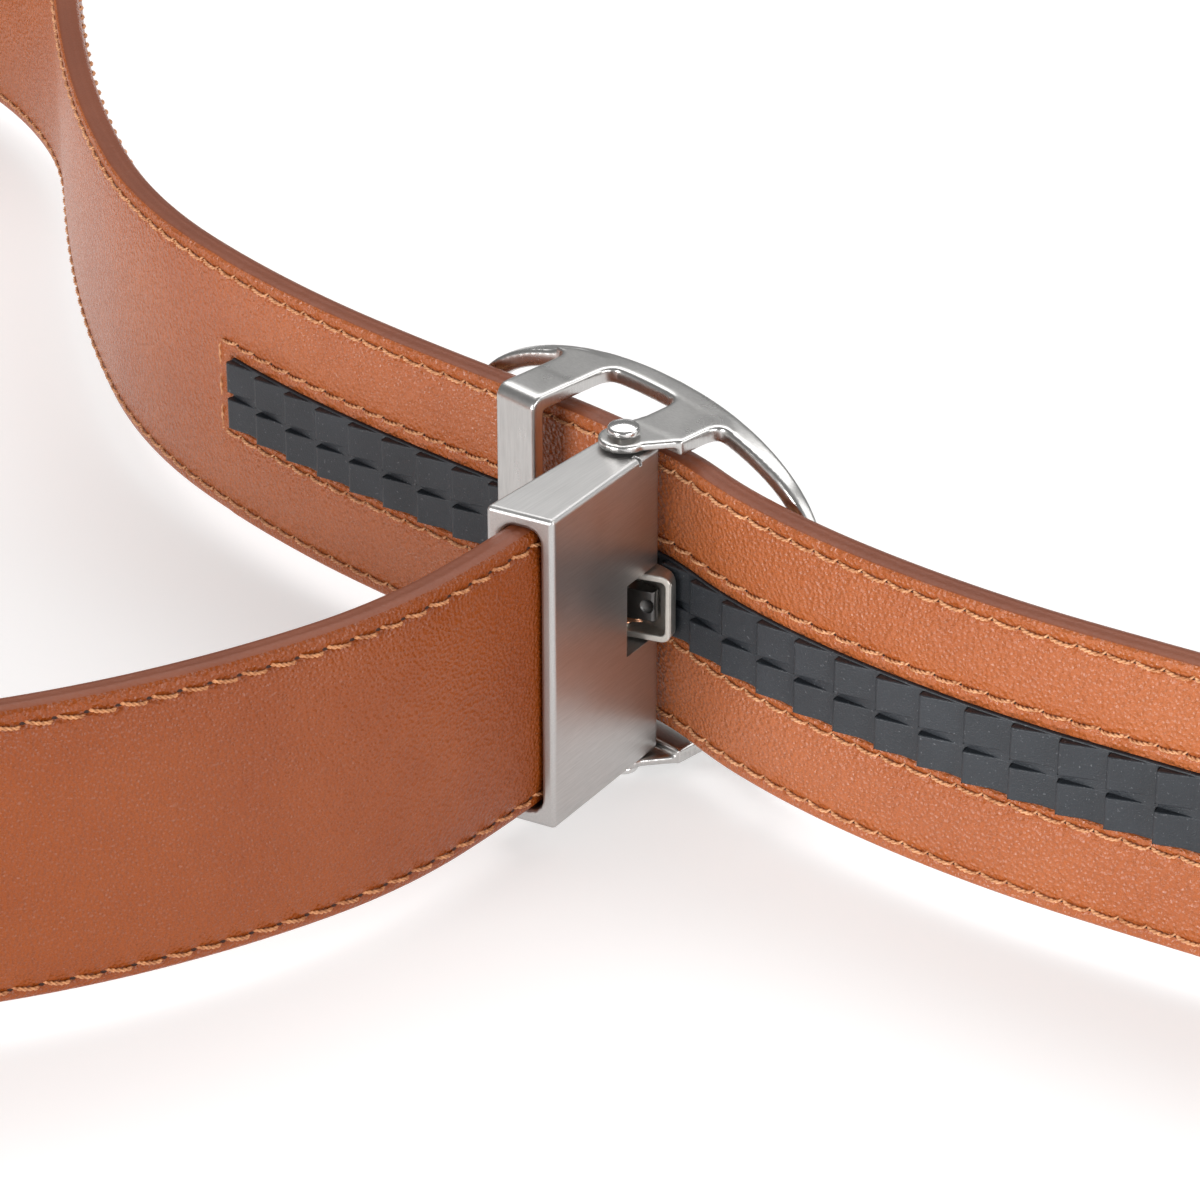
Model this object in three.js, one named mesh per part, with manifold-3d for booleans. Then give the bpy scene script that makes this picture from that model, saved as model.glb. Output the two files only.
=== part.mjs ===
// Ratchet belt lying closed in a loop on its edge, with the buckle's strap clamp swung open.
// Millimetres, +Z up. Buckle frame: +X along the free strap, +Y to the belt's outside, z = 0 at mid width.

import * as THREE from 'three';
import { mergeVertices } from 'three/addons/utils/BufferGeometryUtils.js';
import Module from 'manifold-3d';

const wasm = await Module();
wasm.setup();

// Gap kept between pieces that touch in the real belt
const fitGap = 0.3;

// Leather strap
const strapWidth = 35;
const strapThickness = 4.2;
const strapEdgeRadius = 1.2;
const tipLength = 24;
const pathStep = 10;

// Where the belt stands: turn of the whole belt on its surface, degrees
const beltTurn = -45;

// Strap route, from the clamped end to the tip, in arcs. Each row gives an arc's share of its run,
// as parts of the whole, and how far it turns.
const clampedLength = 13;
const frontLength = 74;
const frontArcs = [
  { parts: 12, turn: -4 },
  { parts: 18, turn: -16 },
  { parts: 18, turn: -8 },
  { parts: 26, turn: -13 },
];
const farLoopTurn = -102;
const backLength = 196;
const backArcs = [
  { parts: 36, turn: -23 },
  { parts: 30, turn: 4 },
  { parts: 30, turn: 7 },
  { parts: 30, turn: 19 },
  { parts: 30, turn: 10 },
  { parts: 26, turn: 4 },
  { parts: 14, turn: -6 },
];
const freeLength = 222;
const freeArcs = [
  { parts: 8, turn: -2 },
  { parts: 7, turn: -11 },
  { parts: 8, turn: 8 },
  { parts: 15, turn: 8 },
  { parts: 30, turn: 11 },
  { parts: 50, turn: 3 },
  { parts: 60, turn: 10 },
  { parts: 44, turn: 8 },
];
const strapAtBuckle = new THREE.Vector2(0, 3.4);

// Toothed track, let into a window of the strap's lining
const trackHeight = 9.6;
const trackLift = 0.1;
const trackSunk = 1.5;
const trackBeforeBuckle = 63.3;
const trackToTip = 52;
const toothPitch = 5.6;
const toothRise = 1.1;
const toothGap = 1.3;
const toothRake = 0.25;
const rowGroove = 0.9;

// Buckle frame: an open bowed ring, with a keeper and two pivot arms cast on
const frameLength = 56.6;
const frameReach = 2;
const ringWidth = 2.2;
const ringDepth = 3.4;
const ringEndDepth = 1.5;
const ringCorner = 0.6;
const ringCornerSteps = 2;
const ringPower = 4;
const ringRise = 5.7;
const ringLean = -0.09;
const ringEnd = new THREE.Vector2(2.2, 5.4);
const ringSegments = 72;
const armThickness = 2.0;
const armFlare = 2.4;
const keeperWidth = 6.0;
const keeperCentre = -9.2;
const keeperBar = 1.8;
const keeperClear = 4.5;
const keeperCorner = 1.7;
const castEdge = 0.3;
const castOverlap = 0.3;
const pivotArmWidth = 7.4;
const pivotArmCentre = 8.8;
const lugThickness = 1.1;
const lugRadius = 2.9;
const lugStep = 0.2;

// Clamp box, hinged on the pivot arms
const pivot = new THREE.Vector2(6.9, -3.2);
const boxSwing = -80.8;
const boxDepth = 19.4;
const boxBack = 2.7;
const boxMouthWidth = 8.2;
const boxMouthSkew = 0.6;
const boxBackWidth = 6.4;
const boxWall = 1.75;
const boxEdge = 0.5;
const boxCorner = 0.9;
const cavityCorner = 1.6;
const cavityBack = 5.8;
const slitWidth = 0.5;
const slitDepth = 0.9;
const slitPlace = 1.2;

// Rivets of the buckle hinge
const rivetShank = 2.2;
const rivetHead = 3.7;
const rivetDome = 1.2;
const rivetRim = 0.4;
const rivetLength = 6;

// Pawl: a sheet-metal hood on its own pin in a notch of the box, open to the front, with a block inside
const pawlHeight = 8.5;
const pawlLift = 0.2;
const pawlLength = 6.0;
const pawlFront = 1.5;
const pawlBack = 2.6;
const pawlSheet = 0.85;
const pawlCorner = 0.8;
const pawlNose = 0.5;
const pawlPin = new THREE.Vector2(-0.4, 0);
const pawlAngle = 105.8;
const pinRadius = 0.5;
const pinHold = 2.4;
const notchDepth = 4.1;
const notchWall = 0.8;
const blockHeight = 3.8;
const blockTail = 1.3;
const blockEnd = 2.0;
const blockDepth = 2.2;
const blockDimple = 0.6;
const blockDimpleInset = 0.75;
const blockCorner = 0.5;

// How far a cutting tool reaches past what it cuts, and how close points are welded
const cutMargin = 1;
const weldDistance = 1e-4;

// Heights that follow from the strap and the clearances
const boxHalf = strapWidth / 2 + fitGap + boxWall;
const frameHalf = boxHalf + fitGap + lugThickness;

const rad = THREE.MathUtils.degToRad;

function solidOf(geometry) {
  const bare = geometry.index ? geometry.toNonIndexed() : geometry.clone();
  bare.deleteAttribute('normal');
  bare.deleteAttribute('uv');
  const merged = mergeVertices(bare, weldDistance);
  return new wasm.Manifold(new wasm.Mesh({
    numProp: 3,
    vertProperties: new Float32Array(merged.attributes.position.array),
    triVerts: new Uint32Array(merged.index.array),
  }));
}

function geometryOf(solid) {
  const mesh = solid.getMesh();
  const geometry = new THREE.BufferGeometry();
  geometry.setAttribute('position', new THREE.BufferAttribute(mesh.vertProperties, 3));
  geometry.setIndex(new THREE.BufferAttribute(mesh.triVerts, 1));
  geometry.computeVertexNormals();
  return geometry;
}

// A shape drawn in plan, raised from one height to another
function raised(shape, from, to, bevel = 0, segments = 1, curveSegments = 6) {
  const geometry = new THREE.ExtrudeGeometry(shape, {
    depth: to - from - 2 * bevel,
    bevelEnabled: bevel > 0,
    bevelThickness: bevel,
    bevelSize: bevel,
    bevelOffset: -bevel,
    bevelSegments: segments,
    curveSegments,
  });
  geometry.translate(0, 0, from + bevel);
  return geometry;
}

// A shape drawn in the (Y, Z) plane, pushed along X
function pushedAlongX(shape, from, to, bevel = 0) {
  const geometry = raised(shape, from, to, bevel);
  const axes = new THREE.Matrix4().makeBasis(
    new THREE.Vector3(0, 1, 0), new THREE.Vector3(0, 0, 1), new THREE.Vector3(1, 0, 0));
  return geometry.applyMatrix4(axes);
}

function roundedRect(x0, y0, x1, y1, r) {
  const shape = new THREE.Shape();
  shape.moveTo(x0 + r, y0);
  shape.lineTo(x1 - r, y0);
  shape.absarc(x1 - r, y0 + r, r, -Math.PI / 2, 0);
  shape.lineTo(x1, y1 - r);
  shape.absarc(x1 - r, y1 - r, r, 0, Math.PI / 2);
  shape.lineTo(x0 + r, y1);
  shape.absarc(x0 + r, y1 - r, r, Math.PI / 2, Math.PI);
  shape.lineTo(x0, y0 + r);
  shape.absarc(x0 + r, y0 + r, r, Math.PI, 1.5 * Math.PI);
  return shape;
}

function polygon(points) {
  return new THREE.Shape(points.map(([x, y]) => new THREE.Vector2(x, y)));
}

function rod(radius, from, to, segments = 20) {
  const geometry = new THREE.CylinderGeometry(radius, radius, to - from, segments);
  geometry.rotateX(Math.PI / 2);
  return geometry.translate(0, 0, (from + to) / 2);
}

// Strap route
function unitOf(heading) {
  return new THREE.Vector2(Math.cos(rad(heading)), Math.sin(rad(heading)));
}

// Where an arc ends, seen from its start
function arcStep(heading, length, turn) {
  if (turn === 0) {
    return unitOf(heading).multiplyScalar(length);
  }
  const half = rad(turn / 2);
  return unitOf(heading + turn / 2).multiplyScalar(length * Math.sin(half) / half);
}

function rowsOf(arcs, length) {
  const parts = arcs.reduce((sum, arc) => sum + arc.parts, 0);
  return arcs.map((arc) => ({ length: length * arc.parts / parts, turn: arc.turn }));
}

function stepOver(rows, heading) {
  const total = new THREE.Vector2();
  for (const row of rows) {
    total.add(arcStep(heading, row.length, row.turn));
    heading += row.turn;
  }
  return { total, heading };
}

// The two wide arcs out of sight close the loop: their turns are set, and their lengths are solved
function closedRoute() {
  const start = unitOf(boxSwing).multiplyScalar(boxDepth - clampedLength).add(pivot);
  const nearRows = [{ length: clampedLength, turn: 0 }, ...rowsOf(frontArcs, frontLength)];
  const near = stepOver(nearRows, boxSwing);
  const backRows = rowsOf(backArcs, backLength);
  const backTurn = backRows.reduce((sum, row) => sum + row.turn, 0);
  const backHeading = -backTurn - 360;
  const back = stepOver(backRows, backHeading);
  const gap = strapAtBuckle.clone().sub(start).sub(near.total).sub(back.total);
  const nearTurn = backHeading - near.heading - farLoopTurn;
  const a = arcStep(near.heading, 1, farLoopTurn);
  const b = arcStep(near.heading + farLoopTurn, 1, nearTurn);
  const det = a.x * b.y - a.y * b.x;
  const first = (gap.x * b.y - gap.y * b.x) / det;
  const second = (a.x * gap.y - a.y * gap.x) / det;
  const rows = [
    ...nearRows,
    { length: first, turn: farLoopTurn },
    { length: second, turn: nearTurn },
    ...backRows,
    ...rowsOf(freeArcs, freeLength),
  ];
  return { rows, start, heading: boxSwing };
}

const route = closedRoute();
const strapLength = route.rows.reduce((sum, row) => sum + row.length, 0);
const buckleStation = strapLength - freeLength;

// Place and heading of the strap's middle at a station along it
function routeAt(station) {
  let left = station;
  let heading = route.heading;
  const place = route.start.clone();
  for (const [i, row] of route.rows.entries()) {
    if (left <= row.length || i === route.rows.length - 1) {
      const turn = row.turn * left / row.length;
      place.add(arcStep(heading, left, turn));
      return { place, heading: heading + turn };
    }
    place.add(arcStep(heading, row.length, row.turn));
    heading += row.turn;
    left -= row.length;
  }
}

// A point beside the strap's middle; a positive offset is on the outside of the belt
function beside(station, offset) {
  const { place, heading } = routeAt(station);
  return unitOf(heading + 90).multiplyScalar(offset).add(place);
}

function stationsBetween(from, to) {
  const stations = [from];
  let edge = 0;
  for (const row of route.rows) {
    const steps = Math.ceil(row.length / pathStep);
    for (let i = 1; i <= steps; i += 1) {
      const station = edge + row.length * i / steps;
      if (station > from + cutMargin && station < to - cutMargin) {
        stations.push(station);
      }
    }
    edge += row.length;
  }
  stations.push(to);
  return stations;
}

function bandShape(from, to, inner, outer) {
  const stations = stationsBetween(from, to);
  const side = stations.map((station) => beside(station, inner));
  const back = stations.map((station) => beside(station, outer)).reverse();
  return new THREE.Shape([...side, ...back]);
}

const innerFace = -strapThickness / 2;
const trackFrom = buckleStation - trackBeforeBuckle;
const trackTo = strapLength - trackToTip;

function strapSolid() {
  const half = strapWidth / 2;
  const body = solidOf(raised(
    bandShape(0, strapLength, innerFace, -innerFace), -half, half, strapEdgeRadius, 2));
  const window = solidOf(raised(
    bandShape(trackFrom, trackTo, innerFace - cutMargin, innerFace + trackSunk),
    trackLift - trackHeight / 2, trackLift + trackHeight / 2));
  return body.subtract(window).subtract(tipCutter());
}

// What is cut away around the rounded tip
function tipCutter() {
  const half = strapWidth / 2;
  const shape = new THREE.Shape();
  shape.moveTo(-tipLength, half + cutMargin);
  shape.lineTo(-tipLength, half);
  shape.absellipse(-tipLength, 0, tipLength, half, Math.PI / 2, -Math.PI / 2, true);
  shape.lineTo(-tipLength, -half - cutMargin);
  shape.lineTo(cutMargin, -half - cutMargin);
  shape.lineTo(cutMargin, half + cutMargin);
  const reach = strapThickness;
  const geometry = raised(shape, -reach, reach, 0, 1, 16);
  geometry.rotateX(Math.PI / 2);
  const end = routeAt(strapLength);
  geometry.rotateZ(rad(end.heading));
  geometry.translate(end.place.x, end.place.y, 0);
  return solidOf(geometry);
}

// One row of wedge teeth in plan: steep towards the buckle's loop side, ramped towards the tip
function toothRowShape() {
  const from = trackFrom + fitGap;
  const to = trackTo - fitGap;
  const count = Math.floor((to - from) / toothPitch);
  const crest = innerFace - toothRise;
  const points = [beside(from, innerFace + trackSunk / 2)];
  for (let i = 0; i < count; i += 1) {
    const start = from + i * toothPitch;
    points.push(beside(start, innerFace));
    points.push(beside(start + toothRake, crest));
    points.push(beside(start + toothPitch - toothGap, innerFace));
  }
  points.push(beside(from + count * toothPitch, innerFace));
  const stations = stationsBetween(from, from + count * toothPitch).reverse();
  for (const station of stations) {
    points.push(beside(station, innerFace + trackSunk / 2));
  }
  return new THREE.Shape(points.slice(0, -1));
}

function trackSolid() {
  const half = trackHeight / 2 - fitGap;
  const base = bandShape(trackFrom + fitGap, trackTo - fitGap, innerFace, innerFace + trackSunk - fitGap);
  const row = toothRowShape();
  return solidOf(raised(base, trackLift - half, trackLift + half))
    .add(solidOf(raised(row, trackLift + rowGroove / 2, trackLift + half)))
    .add(solidOf(raised(row, trackLift - half, trackLift - rowGroove / 2)));
}

// Buckle frame
// How far a place along the ring has swelled: 1 in the middle, 0 at both ends
function swellAt(u) {
  return Math.max(0, 1 - (2 * (u - ringEnd.x) / frameLength) ** 2);
}

function ringFrontAt(u) {
  const swell = swellAt(u);
  return ringEnd.y + ringRise * swell ** 1.5 + ringLean * (u - ringEnd.x) * swell;
}

function ringDepthAt(u) {
  return ringEndDepth + (ringDepth - ringEndDepth) * swellAt(u);
}

// A closed ring turned on a lathe, then drawn out to the frame's outline and bowed
function ringSolid() {
  const turned = 10;
  const section = roundedRect(turned - ringWidth, 0, turned, ringDepth, ringCorner)
    .extractPoints(ringCornerSteps).shape;
  section.push(section[0].clone());
  const geometry = new THREE.LatheGeometry(section, ringSegments);
  const position = geometry.attributes.position;
  const half = frameLength / 2;
  const power = 2 / ringPower;
  for (let i = 0; i < position.count; i += 1) {
    const x = position.getX(i);
    const z = position.getZ(i);
    const angle = Math.round(Math.atan2(z, x) * ringSegments / (2 * Math.PI)) * 2 * Math.PI / ringSegments;
    const inward = turned - Math.hypot(x, z);
    const cos = Math.cos(angle);
    const sin = Math.sin(angle);
    const rim = new THREE.Vector2(
      half * Math.sign(cos) * Math.abs(cos) ** power, frameHalf * Math.sign(sin) * Math.abs(sin) ** power);
    const normal = new THREE.Vector2(
      Math.sign(cos) * Math.abs(cos) ** (2 - power) / half,
      Math.sign(sin) * Math.abs(sin) ** (2 - power) / frameHalf).normalize();
    const u = ringEnd.x + rim.x - normal.x * inward;
    const depth = ringDepthAt(u) * (1 - position.getY(i) / ringDepth);
    position.setXYZ(i, u, ringFrontAt(u) - depth, rim.y - normal.y * inward);
  }
  return solidOf(geometry);
}

// Plan of an arm that flares into the ring, from its free end at a given reach
function armShape(centre, width, reach) {
  const left = centre - width / 2;
  const right = centre + width / 2;
  const inner = (u) => ringFrontAt(u) - ringDepthAt(u) + castOverlap;
  const shape = new THREE.Shape();
  shape.moveTo(left, reach);
  shape.lineTo(left, inner(left) - armFlare);
  shape.quadraticCurveTo(left, inner(left), left - armFlare, inner(left - armFlare));
  shape.lineTo(left, ringFrontAt(left) - ringDepthAt(left) / 2);
  shape.lineTo(right, ringFrontAt(right) - ringDepthAt(right) / 2);
  shape.lineTo(right + armFlare, inner(right + armFlare));
  shape.quadraticCurveTo(right, inner(right), right, inner(right) - armFlare);
  shape.lineTo(right, reach);
  return shape;
}

function keeperLoopShape(depth) {
  const top = frameHalf;
  const inside = top - armThickness;
  const face = -keeperClear;
  const back = face + keeperBar;
  const r = keeperCorner;
  const shape = new THREE.Shape();
  shape.moveTo(depth, top);
  shape.lineTo(face + r, top);
  shape.absarc(face + r, top - r, r, Math.PI / 2, Math.PI);
  shape.lineTo(face, -top + r);
  shape.absarc(face + r, -top + r, r, Math.PI, 1.5 * Math.PI);
  shape.lineTo(depth, -top);
  shape.lineTo(depth, -inside);
  shape.lineTo(back, -inside);
  shape.lineTo(back, inside);
  shape.lineTo(depth, inside);
  return shape;
}

function lugShape() {
  const shape = new THREE.Shape();
  const left = pivotArmCentre - pivotArmWidth / 2;
  const right = pivotArmCentre + pivotArmWidth / 2;
  shape.moveTo(right - fitGap, frameReach);
  shape.lineTo(left, frameReach);
  shape.lineTo(pivot.x - lugRadius, pivot.y);
  shape.absarc(pivot.x, pivot.y, lugRadius, Math.PI, 2 * Math.PI);
  shape.lineTo(right - fitGap, lugStep);
  return shape;
}

function frameSolid() {
  const keeperLeft = keeperCentre - keeperWidth / 2;
  let frame = ringSolid();
  frame = frame.add(solidOf(pushedAlongX(
    keeperLoopShape(frameReach), keeperLeft, keeperLeft + keeperWidth, castEdge)));
  const lugHole = rod(rivetShank / 2 + fitGap, -frameHalf - cutMargin, frameHalf + cutMargin);
  for (const side of [-1, 1]) {
    const from = Math.min(side * frameHalf, side * (frameHalf - armThickness));
    const lugFrom = Math.min(side * frameHalf, side * (frameHalf - lugThickness));
    const keeperArm = raised(armShape(keeperCentre, keeperWidth, frameReach - castOverlap), from, from + armThickness);
    const pivotArm = raised(armShape(pivotArmCentre, pivotArmWidth, lugStep), from, from + armThickness);
    const lug = raised(lugShape(), lugFrom, lugFrom + lugThickness);
    frame = frame.add(solidOf(keeperArm)).add(solidOf(pivotArm)).add(solidOf(lug));
  }
  return frame.subtract(solidOf(lugHole.translate(pivot.x, pivot.y, 0)));
}

// Clamp box, in a frame of its own: the hinge at the origin, +X to the mouth
function boxSolid() {
  const mouth = boxMouthWidth / 2;
  const back = boxBackWidth / 2;
  const r = boxCorner;
  const outline = new THREE.Shape();
  outline.moveTo(boxDepth + boxMouthSkew, -mouth);
  outline.lineTo(boxDepth - boxMouthSkew, mouth);
  outline.lineTo(-boxBack + r, back);
  outline.absarc(-boxBack + r, back - r, r, Math.PI / 2, Math.PI);
  outline.lineTo(-boxBack, -back + r);
  outline.absarc(-boxBack + r, -back + r, r, Math.PI, 1.5 * Math.PI);
  const body = solidOf(raised(outline, -boxHalf, boxHalf, boxEdge, 2));
  const width = strapThickness / 2 + fitGap;
  const height = strapWidth / 2 + fitGap;
  const cavity = pushedAlongX(
    roundedRect(-width, -height, width, height, cavityCorner),
    cavityBack, boxDepth + boxMouthSkew + cutMargin);
  const notchHalf = pawlHeight / 2 + fitGap;
  const behind = -boxBack - cutMargin;
  const beyond = mouth + cutMargin;
  const wall = -back + notchWall;
  const notch = raised(polygon([
    [behind, wall], [notchDepth, wall], [notchDepth, beyond], [behind, beyond],
  ]), pawlLift - notchHalf, pawlLift + notchHalf);
  const bore = rivetShank / 2 + fitGap;
  const pinReach = notchHalf + pinHold + fitGap;
  const pinBore = rod(pinRadius + fitGap, pawlLift - pinReach, pawlLift + pinReach);
  const slit = raised(polygon([
    [slitPlace, back - slitDepth], [slitPlace + slitWidth, back - slitDepth],
    [slitPlace + slitWidth, mouth], [slitPlace, mouth],
  ]), boxHalf - slitDepth, boxHalf + cutMargin);
  return body
    .subtract(solidOf(cavity))
    .subtract(solidOf(notch))
    .subtract(solidOf(rod(bore, boxHalf - rivetLength - fitGap, boxHalf + cutMargin)))
    .subtract(solidOf(rod(bore, -boxHalf - cutMargin, -boxHalf + rivetLength + fitGap)))
    .subtract(solidOf(pinBore.translate(pawlPin.x, pawlPin.y, 0)))
    .subtract(solidOf(slit));
}

// A domed rivet, its head up, with the underside of the head at height 0
function rivetGeometry() {
  const points = [
    new THREE.Vector2(0, -rivetLength - lugThickness - fitGap),
    new THREE.Vector2(rivetShank / 2, -rivetLength - lugThickness - fitGap),
    new THREE.Vector2(rivetShank / 2, 0),
    new THREE.Vector2(rivetHead / 2, 0),
  ];
  const steps = 4;
  for (let i = 0; i <= steps; i += 1) {
    const angle = Math.PI / 2 * i / steps;
    points.push(new THREE.Vector2(
      rivetHead / 2 * Math.cos(angle), rivetRim + (rivetDome - rivetRim) * Math.sin(angle)));
  }
  points[points.length - 1].x = 0;
  const geometry = new THREE.LatheGeometry(points, 20);
  return geometry.rotateX(Math.PI / 2);
}

// Pawl, in a frame of its own: the pin at the origin, +X to the nose, +Y to the track
function pawlSolid() {
  const half = pawlHeight / 2;
  const inside = half - pawlSheet;
  const front = raised(
    roundedRect(-pawlLength, -half, pawlLength, half, pawlCorner), -pawlBack - cutMargin, pawlBack + cutMargin);
  front.rotateX(Math.PI / 2);
  const cavity = solidOf(raised(polygon([
    [-pawlLength, -pawlFront - cutMargin], [pawlLength - pawlSheet, -pawlFront - cutMargin],
    [pawlLength - pawlSheet, pawlBack], [-pawlLength, pawlBack],
  ]), -inside, inside));
  return solidOf(raised(pawlShape(), -half, half))
    .intersect(solidOf(front))
    .subtract(strapSideCutter(0))
    .subtract(cavity.subtract(strapSideCutter(pawlSheet)))
    .subtract(solidOf(rod(pinRadius + fitGap, -pawlHeight, pawlHeight)));
}

// Plan of the pawl, before it is trimmed on the side of the teeth
function pawlShape() {
  const shape = new THREE.Shape();
  shape.moveTo(0, -pawlFront);
  shape.lineTo(pawlLength - pawlNose, -pawlFront);
  shape.quadraticCurveTo(pawlLength, -pawlFront, pawlLength, -pawlFront + pawlNose);
  shape.lineTo(pawlLength, pawlBack);
  shape.lineTo(pawlFront, pawlBack);
  shape.absarc(0, 0, pawlFront, Math.PI / 2, 1.5 * Math.PI);
  return shape;
}

// In the pawl's frame, the side of the track's teeth, and a wall's thickness before it
function strapSideCutter(wall) {
  const pin = pawlPin.clone().rotateAround(new THREE.Vector2(), rad(boxSwing)).add(pivot);
  const limit = strapAtBuckle.y - strapThickness / 2 - toothRise - fitGap - wall;
  const corners = [[-boxDepth, limit], [boxDepth, limit], [boxDepth, boxDepth], [-boxDepth, boxDepth]];
  const shape = new THREE.Shape(corners.map(([u, v]) => new THREE.Vector2(u, v).sub(pin)
    .rotateAround(new THREE.Vector2(), -rad(boxSwing + pawlAngle))));
  return solidOf(raised(shape, -pawlHeight, pawlHeight));
}

function blockSolid() {
  const half = blockHeight / 2;
  const front = -pawlFront + fitGap;
  const to = pawlLength - blockEnd;
  const body = solidOf(raised(
    roundedRect(-blockTail, front, to, front + blockDepth, blockCorner), -half, half, blockCorner / 2));
  const dimple = new THREE.SphereGeometry(blockDimple, 10, 6);
  dimple.translate(to - blockDimpleInset, front, 0);
  return body
    .subtract(strapSideCutter(pawlSheet + fitGap))
    .subtract(solidOf(dimple))
    .subtract(solidOf(rod(pinRadius + fitGap, -blockHeight, blockHeight)));
}

const steel = { color: 0xb9b5ae, roughness: 0.32, metalness: 1 };
const looks = {
  leather: { color: 0xb5602c, roughness: 0.5, metalness: 0 },
  rubber: { color: 0x26282b, roughness: 0.75, metalness: 0 },
  steel,
  bright: { ...steel, color: 0xd8d6d2, roughness: 0.18 },
  dark: { ...steel, color: 0x4a4a48, roughness: 0.5 },
};

function piece(name, geometry, look) {
  const mesh = new THREE.Mesh(geometry, new THREE.MeshStandardMaterial(looks[look]));
  mesh.name = name;
  return mesh;
}

function pawlGroup() {
  const group = new THREE.Group();
  group.position.set(pawlPin.x, pawlPin.y, pawlLift);
  group.rotation.z = rad(pawlAngle);
  const pinHalf = pawlHeight / 2 + pinHold;
  group.add(
    piece('pawl', geometryOf(pawlSolid()), 'steel'),
    piece('pawl_block', geometryOf(blockSolid()), 'dark'),
    piece('pawl_pin', rod(pinRadius, -pinHalf, pinHalf, 16), 'steel'),
  );
  return group;
}

function clampGroup() {
  const group = new THREE.Group();
  group.position.set(pivot.x, pivot.y, 0);
  group.rotation.z = rad(boxSwing);
  group.add(piece('clamp_box', geometryOf(boxSolid()), 'steel'), pawlGroup());
  return group;
}

function rivet(name, side) {
  const mesh = piece(name, rivetGeometry(), 'bright');
  mesh.position.set(pivot.x, pivot.y, side * (frameHalf + fitGap));
  mesh.rotation.x = side > 0 ? 0 : Math.PI;
  return mesh;
}

const belt = new THREE.Group();
belt.add(
  piece('strap', geometryOf(strapSolid()), 'leather'),
  piece('track', geometryOf(trackSolid()), 'rubber'),
  piece('buckle_frame', geometryOf(frameSolid()), 'steel'),
  rivet('rivet_top', 1),
  rivet('rivet_bottom', -1),
  clampGroup(),
);
belt.rotation.z = rad(beltTurn);

// The origin is under the middle of the belt's box
const whole = new THREE.Group();
whole.add(belt);
whole.updateMatrixWorld(true);
const box = new THREE.Box3().setFromObject(belt, true);
belt.position.set(-(box.min.x + box.max.x) / 2, -(box.min.y + box.max.y) / 2, -box.min.z);

export default whole;
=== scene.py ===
"""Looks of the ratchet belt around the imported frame: leather, stitching, toothed track and buckle.

Built in the buckle's own frame, in millimetres: +X along the free strap, +Y to the belt's outside,
Z from the strap's mid width. Each piece is then placed in the row frame, in metres.
"""

import math

import bmesh
import bpy
import numpy as np
from mathutils import Matrix, Vector


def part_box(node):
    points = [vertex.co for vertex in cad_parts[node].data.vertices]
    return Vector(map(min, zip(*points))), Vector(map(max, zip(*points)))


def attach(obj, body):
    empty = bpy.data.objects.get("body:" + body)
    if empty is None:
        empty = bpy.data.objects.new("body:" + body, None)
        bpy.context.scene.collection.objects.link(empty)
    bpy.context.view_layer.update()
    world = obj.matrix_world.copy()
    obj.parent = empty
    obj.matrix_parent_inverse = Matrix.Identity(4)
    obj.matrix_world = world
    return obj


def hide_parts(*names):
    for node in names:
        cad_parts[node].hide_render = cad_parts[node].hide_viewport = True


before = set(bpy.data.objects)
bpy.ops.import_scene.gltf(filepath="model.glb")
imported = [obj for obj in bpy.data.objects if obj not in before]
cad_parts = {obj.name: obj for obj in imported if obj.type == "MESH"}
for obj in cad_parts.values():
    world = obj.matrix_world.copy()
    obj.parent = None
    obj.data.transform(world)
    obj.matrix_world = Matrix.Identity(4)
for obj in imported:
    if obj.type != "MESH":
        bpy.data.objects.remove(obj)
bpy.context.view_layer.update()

MM = 0.001
TINY = 1e-6
CUT_MARGIN = 1.0

# The same sizes as the CAD source, in millimetres and degrees
FIT_GAP = 0.3
STRAP_WIDTH = 35.0
STRAP_THICKNESS = 4.2
TIP_LENGTH = 24.0
BELT_TURN = -45.0
CLAMPED_LENGTH = 13.0
FRONT_LENGTH = 74.0
FRONT_ARCS = [(12, -4), (18, -16), (18, -8), (26, -13)]
FAR_LOOP_TURN = -102.0
BACK_LENGTH = 196.0
BACK_ARCS = [(36, -23), (30, 4), (30, 7), (30, 19), (30, 10), (26, 4), (14, -6)]
FREE_LENGTH = 222.0
FREE_ARCS = [(8, -2), (7, -11), (8, 8), (15, 8), (30, 11), (50, 3), (60, 10), (44, 8)]
STRAP_AT_BUCKLE = (0.0, 3.4)
TRACK_HEIGHT = 9.6
TRACK_LIFT = 0.1
TRACK_SUNK = 1.5
TRACK_BEFORE_BUCKLE = 63.3
TRACK_TO_TIP = 52.0
TOOTH_PITCH = 5.6
TOOTH_RISE = 1.1
TOOTH_GAP = 1.3
ROW_GROOVE = 0.9
FRAME_LENGTH = 56.6
FRAME_REACH = 2.0
RING_WIDTH = 2.2
RING_DEPTH = 3.4
RING_END_DEPTH = 1.5
RING_CORNER = 0.6
RING_POWER = 4.0
RING_RISE = 5.7
RING_LEAN = -0.09
RING_END = (2.2, 5.4)
ARM_THICKNESS = 2.0
ARM_FLARE = 2.4
KEEPER_WIDTH = 6.0
KEEPER_CENTRE = -9.2
KEEPER_BAR = 1.8
KEEPER_CLEAR = 4.5
KEEPER_CORNER = 1.7
PIVOT_ARM_WIDTH = 7.4
PIVOT_ARM_CENTRE = 8.8
LUG_THICKNESS = 1.1
LUG_RADIUS = 2.9
LUG_STEP = 0.2
PIVOT = (6.9, -3.2)
BOX_SWING = -80.8
BOX_DEPTH = 19.4
BOX_BACK = 2.7
BOX_MOUTH_WIDTH = 8.2
BOX_MOUTH_SKEW = 0.6
BOX_BACK_WIDTH = 6.4
BOX_WALL = 1.75
BOX_CORNER = 0.9
CAVITY_CORNER = 1.6
CAVITY_BACK = 5.8
SLIT_WIDTH = 0.5
SLIT_DEPTH = 0.9
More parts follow.
